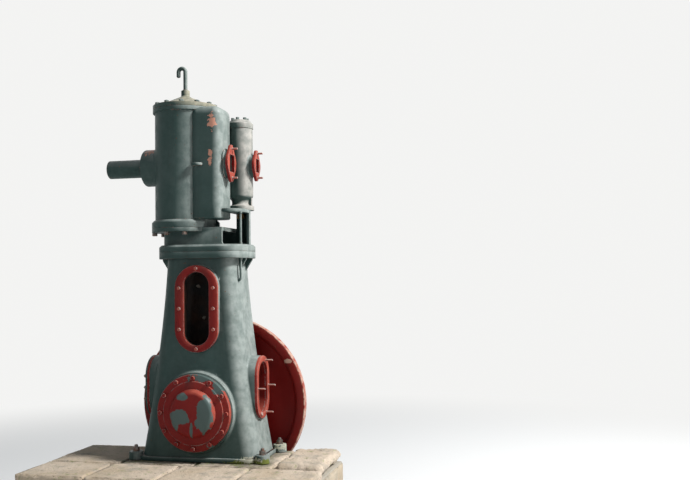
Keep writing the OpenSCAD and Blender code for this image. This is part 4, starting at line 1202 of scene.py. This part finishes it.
def right_studs(work):
    for turn in stud_turns:
        stud(work, side_stud_r, -0.004, side_stud_out, RIGHT, side_spot(turn))
        sweep(work, circle(16), [(side_stud_r + 0.003, 0.0), (side_stud_r + 0.002, 0.003)], RIGHT,
              side_spot(turn), False)
    profile = [(broken_stud_r, -0.004), (broken_stud_r, broken_stud_out * 0.6),
               (broken_stud_r * 0.75, broken_stud_out), (broken_stud_r * 0.3, broken_stud_out * 0.85)]
    sweep(work, circle(24), profile, RIGHT, side_spot(broken_turn), False)


studs = shaped("right_door_studs", right_studs)
smoothed(studs)
settle(studs, bolt_metal, ["side_door_studs"])

left_frame = shaped("left_door_frame", oval_frame(side_door_half, side_way_half, side_door_seat, LEFT,
                                                  side_door_z))
smoothed(left_frame)
settle(left_frame, red_paint, ["left_door_frame"])


def left_cover(work):
    outline = oval(side_door_half, 24)
    rings = []
    start = side_door_seat + door_t
    for inset, height in ((0.0005, 0), (0.0005, door_plate_t - 0.003), (0.0015, door_plate_t - 0.001),
                          (0.004, door_plate_t)):
        rings.append([LEFT @ Vector((u, v, start + height)) + Vector((0, 0, side_door_z))
                      for u, v in outline(inset)])
    skin(work, rings, False)


left_plate = shaped("left_door_plate", left_cover)
smoothed(left_plate)
settle(left_plate, grey_paint, ["left_door_plate"])


def left_nuts(work):
    for u, v in door_spots(side_door_half, side_band):
        foot = LEFT @ Vector((u, v, side_door_seat + door_t + door_plate_t)) + Vector((0, 0, side_door_z))
        hex_nut(work, door_bolt_af, left_nut_h, LEFT, foot)
        stud(work, side_stud_r * 0.95, 0.0, left_stud_end, LEFT, foot)


left_door_nuts = shaped("left_door_nuts", left_nuts)
smoothed(left_door_nuts)
settle(left_door_nuts, rusty_bolts, ["left_door_nuts"])

# Distance piece
# Iron casting bolted between the column and the cylinder, hollow, with an open window round its
# front right corner and the yoke that carries the valve chest.
distance_half_x, distance_half_y = 0.288, 0.150
distance_corner, distance_wall = 0.105, 0.018

distance = bevelled_copy("distance_piece", 0.003, angle=25.0)
settle(distance, grey_paint, ["distance_piece"])
distance.data.materials.append(inside_mat)
# Inner faces below the joint take the dark inside material: painted shade as well as oil.
for face in distance.data.polygons:
    middle = face.center
    past_x = max(abs(middle.x) - distance_half_x + distance_corner, 0)
    past_y = max(abs(middle.y) - distance_half_y + distance_corner, 0)
    inside = math.hypot(past_x, past_y) < distance_corner - 0.7 * distance_wall
    if inside and middle.z < frame_top + joint_t - 0.001:
        face.material_index = inside_slot

# Cylinder
# Cast-iron steam cylinder with a thick foot flange, cut flat beside the window, a thin top
# flange and the round branch on its left. Painted like the frame, over a pink primer.
cylinder_x = -0.155
cylinder_r, cylinder_foot_r, cylinder_top_r = 0.207, 0.230, 0.221
cylinder_foot_t, cylinder_bevel, cylinder_top_t = 0.056, 0.016, 0.027
cylinder_foot, cylinder_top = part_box("cylinder_casting")[0][2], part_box("cylinder_casting")[1][2]
foot_flat_x, flat_back, past_foot = 0.032, 0.030, 0.3
branch_z = 2.380
branch_r, branch_reach = 0.127, 0.285
primer_pink = (0.480, 0.190, 0.130, 1)
primer_peach = (0.540, 0.260, 0.185, 1)
branch_scar = ((-0.385, -0.055, 2.490), (0.034, 0.06, 0.032))
cylinder_paint = old_paint("cylinder_paint", paint_green, paint_faded, primer_pink, rust_brown,
                           wear=0.45, shift=50.0)
cylinder_paint = patched(cylinder_paint, [branch_scar], primer_peach, ragged=0.7, scale=45.0)[0]


def cylinder_barrel(work):
    height = cylinder_top - cylinder_foot
    section = [(on_axis, 0), (cylinder_r, 0), (cylinder_r, height - cylinder_top_t),
               (cylinder_top_r, height - cylinder_top_t), (cylinder_top_r, height), (on_axis, height)]
    sweep(work, circle(192), soft(section, [0, 0, 0.006, 0.003, 0.003, 0]), UPRIGHT,
          (cylinder_x, 0, cylinder_foot))


def cylinder_base(work):
    section = [(0.1, 0), (cylinder_foot_r, 0), (cylinder_foot_r, cylinder_foot_t - cylinder_bevel),
               (cylinder_foot_r - cylinder_bevel, cylinder_foot_t), (0.1, cylinder_foot_t)]
    sweep(work, circle(192), soft(section, [0, 0.003, 0.004, 0.004, 0]), UPRIGHT,
          (cylinder_x, 0, cylinder_foot))


def box_tool(low, high):
    def build(work):
        low_v, high_v = Vector(low), Vector(high)
        bmesh.ops.create_cube(work, size=1.0, matrix=Matrix.Translation((low_v + high_v) / 2)
                              @ Matrix.Diagonal(high_v - low_v).to_4x4())
    return tool(build)


def round_wall(radius):
    """Distance from the axis of a round wall at the point (u, v) beside it."""
    return lambda u, v: math.sqrt(max(radius ** 2 - u ** 2, 0))


cylinder = shaped("cylinder", cylinder_barrel)
base = tool(cylinder_base)
combined(base, [box_tool((foot_flat_x, -past_foot, cylinder_foot - 0.01),
                         (past_foot, flat_back, cylinder_foot + cylinder_foot_t + 0.01))], "DIFFERENCE")
branch = boss(circle(96), round_rim(branch_r), LEFT, (cylinder_x, 0, branch_z), branch_reach,
              round_wall(cylinder_r), 0.018)
combined(cylinder, [base, branch], "UNION")
smoothed(cylinder)
settle(cylinder, cylinder_paint, ["cylinder_casting"])

cylinder_nut_af, cylinder_nut_h = 0.030, 0.022
foot_nut_turns = (70, 105, 160, 200, 255, 290)
seat_t = 0.026


def foot_nuts(work):
    for turn in foot_nut_turns:
        angle = math.radians(turn)
        ring = cylinder_foot_r - cylinder_nut_af * 0.62
        spot = (cylinder_x + ring * math.cos(angle), ring * math.sin(angle),
                cylinder_foot - seat_t - cylinder_nut_h)
        hex_nut(work, cylinder_nut_af, cylinder_nut_h, UPRIGHT, spot)


under_nuts = shaped("cylinder_foot_nuts", foot_nuts)
smoothed(under_nuts)
settle(under_nuts, rusty_bolts, ["cylinder_foot_nuts"])

# Cylinder cover
# Cast cover with a low cone and a boss, held by twelve nuts on studs round its flat rim. Rain
# has chalked its paint, and its upper side is also painted paler as sunlight.
cover_edge_t, cone_h, cone_r = 0.028, 0.072, 0.182
top_boss_r, top_boss_h = 0.029, 0.040
top_nut_count, top_nut_h, top_nut_turn = 12, 0.012, 15
top_stud_r, top_stud_end = 0.009, 0.003
# Paler colour of the cover: chalked paint, and painted sunlight on its upper, sun-facing side.
cover_chalk_and_sunlit = (0.360, 0.335, 0.250, 1)


def top_cover(work):
    cone_top = cover_edge_t + cone_h
    section = [(on_axis, 0), (cylinder_top_r, 0), (cylinder_top_r, cover_edge_t), (cone_r, cover_edge_t),
               (top_boss_r + 0.012, cone_top - 0.008), (top_boss_r, cone_top),
               (top_boss_r, cone_top + top_boss_h), (on_axis, cone_top + top_boss_h)]
    sweep(work, circle(160), soft(section, [0, 0.002, 0.004, 0.010, 0.010, 0.006, 0.004, 0]), UPRIGHT,
          (cylinder_x, 0, cylinder_top))


cylinder_cover = shaped("cylinder_cover", top_cover)
smoothed(cylinder_cover)
top_paint = old_paint("top_cover_paint", paint_green, cover_chalk_and_sunlit, primer_pink, rust_brown,
                      wear=0.45, shift=50.0)[0]
settle(cylinder_cover, top_paint, ["cylinder_cover"])


def top_nuts(work):
    ring = (cylinder_top_r + cone_r) / 2 - 0.001
    for i in range(top_nut_count):
        angle = math.radians(top_nut_turn + 360 * i / top_nut_count)
        spot = (cylinder_x + ring * math.cos(angle), ring * math.sin(angle), cylinder_top + cover_edge_t)
        hex_nut(work, cylinder_nut_af, top_nut_h, UPRIGHT, spot)
        stud(work, top_stud_r, 0.0, top_nut_h + top_stud_end, UPRIGHT, spot)


nuts = shaped("cylinder_cover_nuts", top_nuts)
smoothed(nuts)
settle(nuts, grey_paint, ["cylinder_cover_nuts"])

# Lifting hook
# A bent round bar screwed into the cover's boss, with its short end turned down. The cover is
# lifted off by it. It is painted over and rusting.
hook_r, hook_bend, hook_leg, hook_tip = 0.014, 0.025, 0.1318, 0.038
boss_top = cylinder_top + cover_edge_t + cone_h + top_boss_h


def tube(work, points, radii, count=28):
    """Round bar along a path that stays in the plane of the engine's width."""
    rings = []
    for i, point in enumerate(points):
        before = Vector(points[max(i - 1, 0)])
        after = Vector(points[min(i + 1, len(points) - 1)])
        along = (after - before).normalized()
        sideways = Vector((0, 1, 0))
        other = along.cross(sideways).normalized()
        rings.append([Vector(point) + (sideways * math.cos(2 * math.pi * k / count)
                                       + other * math.sin(2 * math.pi * k / count)) * radii[i]
                      for k in range(count)])
    skin(work, rings, False)


def hook(work):
    points, radii = [], []
    for k in range(9):
        points.append((cylinder_x, 0, boss_top - 0.004 + (hook_leg + 0.004) * k / 8))
    for k in range(1, 17):
        angle = math.pi * k / 16
        points.append((cylinder_x - hook_bend + hook_bend * math.cos(angle), 0,
                       boss_top + hook_leg + hook_bend * math.sin(angle)))
    for k in range(1, 4):
        points.append((cylinder_x - 2 * hook_bend, 0, boss_top + hook_leg - (hook_tip - 0.008) * k / 3))
    radii = [hook_r] * len(points)
    for drop, share in ((0.005, 0.85), (0.008, 0.45)):
        points.append((cylinder_x - 2 * hook_bend, 0, boss_top + hook_leg - hook_tip + 0.008 - drop))
        radii.append(hook_r * share)
    tube(work, points, radii)
    section = [(on_axis, -0.001), (hook_r * 1.35, -0.001), (hook_r * 1.35, 0.006), (on_axis, 0.006)]
    sweep(work, circle(32), soft(section, [0, 0, 0.002, 0]), UPRIGHT, (cylinder_x, 0, boss_top))


lifting_hook = shaped("lifting_hook", hook)
smoothed(lifting_hook)
hook_paint = old_paint("hook_paint", paint_green, paint_faded, rust_orange, rust_brown,
                       wear=1.1, shift=61.0)[0]
settle(lifting_hook, hook_paint, ["lifting_hook"])

# Steam passage
# The rounded box cast against the cylinder that leads steam to the valve chest, with the port
# of the front branch in its side and a small ledge on its front.
passage_left, passage_right = -0.060, 0.161
passage_front, passage_back = 0.182, 0.060
passage_round = 0.058
passage_foot = cylinder_foot + cylinder_foot_t
passage_top = cylinder_top - 0.004
chest_x, chest_y = 0.205, 0.100
chest_r, chest_foot_r, chest_cover_r = 0.086, 0.092, 0.090
chest_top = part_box("valve_chest")[1][2]
chest_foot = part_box("valve_chest")[0][2]
steam_y = -0.076
port_y, port_z, port_depth = 0.044, 0.058, 0.070
ledge_r, ledge_t, ledge_out = 0.038, 0.018, 0.034
seam = 0.0003
chest_body = chest_foot + 0.090
primer_spots = [((0.106, -0.170, 2.652), (0.024, 0.06, 0.050)),
                ((0.092, -0.170, 2.444), (0.015, 0.05, 0.022)),
                ((0.092, -0.170, 2.387), (0.015, 0.05, 0.030))]


def passage_box(work):
    half = ((passage_right - passage_left) / 2, (passage_front + passage_back) / 2)
    levels = [(0.010, 0.0), (0.003, 0.003), (0, 0.010)]
    straight = passage_top - passage_foot - passage_round
    for k in range(1, 9):
        levels.append((0, 0.010 + (straight - 0.010) * k / 8))
    for k in range(1, 13):
        angle = math.radians(90 * k / 12)
        levels.append((passage_round * (1 - math.cos(angle)), straight + passage_round * math.sin(angle)))
    rings = []
    for inset, height in levels:
        ring = rounded_ring(half[0] - inset, half[1] - inset, max(passage_round - inset, 0.0002), 14, 6)
        rings.append([((passage_left + passage_right) / 2 + x, (passage_back - passage_front) / 2 + y,
                       passage_foot + height) for x, y in ring])
    skin(work, rings, False)


def ledge(work):
    section = [(on_axis, 0), (ledge_r, 0), (ledge_r, ledge_t), (on_axis, ledge_t)]
    sweep(work, circle(64), soft(section, [0, 0.004, 0.004, 0]), UPRIGHT,
          (0, -passage_front + ledge_r - ledge_out, branch_z - ledge_t))


passage = shaped("steam_passage", passage_box)
combined(passage, [tool(ledge)], "UNION")
cylinder_axis = (cylinder_x, 0, 0)
passage_cuts = [drum(cylinder_r + seam, cylinder_foot - 0.01, cylinder_top, UPRIGHT, cylinder_axis, 192),
                drum(cylinder_top_r + seam, cylinder_top - cylinder_top_t, cylinder_top + 0.1, UPRIGHT,
                     cylinder_axis, 192),
                drum(chest_foot_r + seam, passage_foot - 0.01, chest_body, UPRIGHT, (chest_x, chest_y, 0)),
                drum(chest_r + seam, chest_body - 0.01, chest_top + 0.1, UPRIGHT, (chest_x, chest_y, 0)),
                drum(chest_cover_r + seam, chest_top, chest_top + 0.2, UPRIGHT, (chest_x, chest_y, 0)),
                box_tool((passage_right - port_depth, steam_y - port_y, branch_z - port_z),
                         (passage_right + 0.05, steam_y + port_y, branch_z + port_z))]
combined(passage, passage_cuts, "DIFFERENCE")
smoothed(passage)
passage_paint = old_paint("passage_paint", paint_green, paint_faded, primer_pink, rust_brown,
                          wear=0.45, shift=50.0)
passage_paint = patched(passage_paint, primer_spots, primer_peach, ragged=0.6, scale=45.0)[0]
settle(passage, passage_paint, ["steam_passage"])

# Valve chest
# Round cast chest beside the cylinder, narrow at its foot where a rib stiffens it, with a
# thick turned cover and six nuts. The valve spindle leaves it through a gland in the yoke.
chest_foot_t, chest_neck_r, chest_neck_h = 0.030, 0.060, 0.060
chest_rib_t = 0.022
chest_cover_t = 0.062
spindle_r, gland_r, gland_h = 0.010, 0.026, 0.034
chest_port, chest_port_depth = (0.031, 0.046), 0.034
lid_nut_count, lid_nut_inset, lid_nut_share = 6, 0.040, 0.7
# Paler colour of the chest: chalked paint, and painted sunlight on its sun-facing side.
chest_chalk_and_sunlit = (0.430, 0.412, 0.375, 1)
spindle_pale = (0.50, 0.54, 0.50, 1)
chest_paint = old_paint("chest_paint", paint_green, chest_chalk_and_sunlit, primer_pink, rust_brown,
                        wear=0.45, shift=50.0)[0]


def chest_barrel(work):
    neck_top = chest_foot_t + chest_neck_h
    height = chest_top - chest_foot
    section = [(spindle_r + 0.002, 0), (chest_foot_r, 0), (chest_foot_r, chest_foot_t),
               (chest_neck_r, chest_foot_t + 0.006), (chest_neck_r, neck_top - 0.020), (chest_r, neck_top),
               (chest_r, height), (on_axis, height), (on_axis, neck_top), (spindle_r + 0.002, neck_top)]
    sweep(work, circle(128), soft(section, [0, 0.002, 0.003, 0.012, 0.014, 0.014, 0.001, 0, 0, 0]), UPRIGHT,
          (chest_x, chest_y, chest_foot))


chest = shaped("valve_chest", chest_barrel)
rib_low, rib_high = chest_foot + chest_foot_t - 0.0005, chest_body + 0.0005
rib = box_tool((chest_x + chest_neck_r - 0.006, chest_y - chest_rib_t / 2, rib_low),
               (chest_x + chest_r - 0.006, chest_y + chest_rib_t / 2, rib_high))
combined(chest, [rib], "UNION")
port_start = chest_x + chest_r - chest_port_depth
combined(chest, [box_tool((port_start, chest_y - chest_port[0], branch_z - chest_port[1]),
                          (chest_x + chest_r + 0.05, chest_y + chest_port[0], branch_z + chest_port[1]))],
         "DIFFERENCE")
smoothed(chest)
settle(chest, chest_paint, ["valve_chest"])


def chest_lid(work):
    section = [(on_axis, 0), (chest_cover_r, 0), (chest_cover_r, chest_cover_t * 0.6),
               (chest_cover_r - 0.008, chest_cover_t * 0.6 + 0.005), (chest_cover_r - 0.026, chest_cover_t),
               (on_axis, chest_cover_t)]
    sweep(work, circle(128), soft(section, [0, 0.003, 0.004, 0.004, 0.006, 0]), UPRIGHT,
          (chest_x, chest_y, chest_top))


lid = shaped("valve_chest_cover", chest_lid)
smoothed(lid)
settle(lid, chest_paint, ["valve_chest_cover"])


def lid_nuts(work):
    ring = chest_cover_r - lid_nut_inset
    for i in range(lid_nut_count):
        angle = math.radians(30 + 360 * i / lid_nut_count)
        spot = (chest_x + ring * math.cos(angle), chest_y + ring * math.sin(angle), chest_top + chest_cover_t)
        hex_nut(work, cylinder_nut_af * lid_nut_share, cylinder_nut_h * lid_nut_share, UPRIGHT, spot)


chest_nuts = shaped("valve_chest_nuts", lid_nuts)
smoothed(chest_nuts)
settle(chest_nuts, grey_paint, ["valve_chest_nuts"])


def gland_collar(work):
    section = [(spindle_r + bore_gap, 0), (gland_r, 0), (gland_r, gland_h), (spindle_r + bore_gap, gland_h)]
    sweep(work, circle(48), soft(section, 0.003), UPRIGHT, (chest_x, chest_y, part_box("valve_gland")[0][2]))


gland = shaped("valve_gland", gland_collar)
smoothed(gland)
settle(gland, bronze, ["valve_gland"])

spindle_low, spindle_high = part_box("valve_spindle")
spindle_paint = old_paint("spindle_paint", paint_faded, spindle_pale, rust_orange, rust_brown,
                          wear=0.8, shift=70.0)[0]


def spindle_bar(work):
    section = [(on_axis, spindle_low[2]), (spindle_r, spindle_low[2]), (spindle_r, spindle_high[2]),
               (on_axis, spindle_high[2])]
    sweep(work, circle(32), soft(section, [0, 0.001, 0.001, 0]), UPRIGHT, (chest_x, chest_y, 0))


spindle = shaped("valve_spindle", spindle_bar)
smoothed(spindle)
settle(spindle, spindle_paint, ["valve_spindle"])

# Branches on the right
# Two oval flanges on short necks, where the steam and exhaust pipes were bolted on. Painted
# red, with the studs still in them and the ports open.
oval_t = 0.020
flange_stud_r, flange_stud_out = 0.007, 0.038
steam_half, steam_stud = (0.084, 0.126), 0.098
exhaust_half, exhaust_stud = (0.068, 0.107), 0.084
steam_neck_half, exhaust_neck_half = (0.06048, 0.09072), (0.0476, 0.07704)
port_cut_start, port_cut_end = 0.05, 0.6
steam_neck_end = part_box("steam_neck")[1][0]
exhaust_neck_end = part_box("exhaust_neck")[1][0]


def port_tool(y, half):
    return box_tool((port_cut_start, y - half[0], branch_z - half[1]),
                    (port_cut_end, y + half[0], branch_z + half[1]))


def neck(name, half, y, start, end, ground, port):
    made = boss(oval(half, 24), oval_rim, RIGHT, (start, y, branch_z), end - start, ground, 0.010, 0.0005)
    made.name = name
    made.data.name = name
    combined(made, [port_tool(y, port)], "DIFFERENCE")
    smoothed(made)
    settle(made, cylinder_paint, [name])


def two_bolt_oval(half, bolt, steps=14):
    """Round middle drawn out by straight tangents to the bolt ends, drawn in by an inset."""
    def ring(inset):
        middle, end = half[0] - inset, half[1] - bolt - inset
        lean = math.asin((middle - end) / bolt)
        points = []
        for centre, radius, start, stop in ((0, middle, -lean, lean), (bolt, end, lean, math.pi - lean),
                                            (0, middle, math.pi - lean, math.pi + lean),
                                            (-bolt, end, math.pi + lean, 2 * math.pi - lean)):
            for k in range(steps + 1):
                turn = start + (stop - start) * k / steps
                points.append((radius * math.cos(turn), centre + radius * math.sin(turn)))
        return points
    return ring


def flange(name, half, bolt, y, start, port):
    def build(work):
        sweep(work, two_bolt_oval(half, bolt), slab(oval_t, 0.003), RIGHT, (start, y, branch_z), False)
    made = shaped(name, build)
    combined(made, [port_tool(y, port)], "DIFFERENCE")
    smoothed(made)
    settle(made, red_paint, [name])


def flange_studs(name, y, start, rise):
    def build(work):
        for side in (-1, 1):
            foot = (start + oval_t, y, branch_z + side * rise)
            stud(work, flange_stud_r, -0.004, flange_stud_out, RIGHT, foot)
            mound = [(flange_stud_r + 0.004, 0), (flange_stud_r + 0.002, 0.004)]
            sweep(work, circle(20), mound, RIGHT, foot, False)
    made = shaped(name, build)
    smoothed(made)
    settle(made, bolt_metal, [name])


steam_port = (port_y, port_z)
neck("steam_neck", steam_neck_half, steam_y, passage_right, steam_neck_end, lambda u, v: 0.007, steam_port)
neck("exhaust_neck", exhaust_neck_half, chest_y, chest_x, exhaust_neck_end, round_wall(chest_r), chest_port)
flange("steam_flange", steam_half, steam_stud, steam_y, steam_neck_end, steam_port)
flange("exhaust_flange", exhaust_half, exhaust_stud, chest_y, exhaust_neck_end, chest_port)
flange_studs("steam_flange_studs", steam_y, steam_neck_end, steam_stud)
flange_studs("exhaust_flange_studs", chest_y, exhaust_neck_end, exhaust_stud)

# Left branch
# The cylinder's third branch ends in a collar and a length of cut pipe, painted over with the
# rest. Rust comes through at its edges.
collar_r, collar_l = 0.078, 0.024
stub_r, stub_bore, stub_l = 0.063, 0.054, 0.279
collar_gap = 0.0001
branch_end = (cylinder_x - branch_reach, 0, branch_z)
pipe_paint = old_paint("pipe_paint", paint_green, paint_faded, rust_brown, rust_orange,
                       wear=1.1, shift=80.0)[0]


def collar_ring(work):
    section = [(stub_r + collar_gap, 0), (collar_r, 0), (collar_r, collar_l), (stub_r + collar_gap, collar_l)]
    sweep(work, circle(96), soft(section, [0, 0.003, 0.004, 0]), LEFT, branch_end)


def stub_pipe(work):
    section = [(stub_bore, 0), (stub_r, 0), (stub_r, stub_l), (stub_bore, stub_l)]
    sweep(work, circle(96), soft(section, [0, 0, 0.0015, 0.0015]), LEFT, branch_end)


collar = shaped("left_collar", collar_ring)
smoothed(collar)
settle(collar, pipe_paint, ["left_collar"])
stub = shaped("left_stub_pipe", stub_pipe)
smoothed(stub)
settle(stub, pipe_paint, ["left_stub_pipe"])

# Drain pipe
# A thin pipe that stands in the window, and below the column joint runs down the front right
# corner and back into the wall. Bent cold and painted with the casting.
drain_r, drain_bend = 0.008, 0.024
drain_y = -0.100
socket_out, socket_l = 0.004, 0.012
drain_low, drain_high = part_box("drain_pipe")
window_low, window_high = frame_top + joint_t, 2.052


def drain(work):
    x = drain_high[0] - drain_r
    knee = drain_low[2] + drain_r
    points = [(x, drain_y, drain_high[2]), (x, drain_y, knee + drain_bend)]
    for k in range(1, 9):
        angle = math.radians(90 * k / 8)
        points.append((x - drain_bend + drain_bend * math.cos(angle), drain_y,
                       knee + drain_bend - drain_bend * math.sin(angle)))
    points.append((drain_low[0], drain_y, knee))
    tube(work, points, [drain_r] * len(points), 20)
    tube(work, [(x, drain_y, window_low - 0.001), (x, drain_y, window_high)], [drain_r] * 2, 20)
    socket = [(drain_r + socket_out, 0), (drain_r + socket_out, socket_l)]
    for foot in (window_low, window_high - socket_l, drain_high[2] - socket_l):
        sweep(work, circle(24), socket, UPRIGHT, (x, drain_y, foot), False)


drain_pipe = shaped("drain_pipe", drain)
smoothed(drain_pipe)
settle(drain_pipe, grey_paint, ["drain_pipe"])
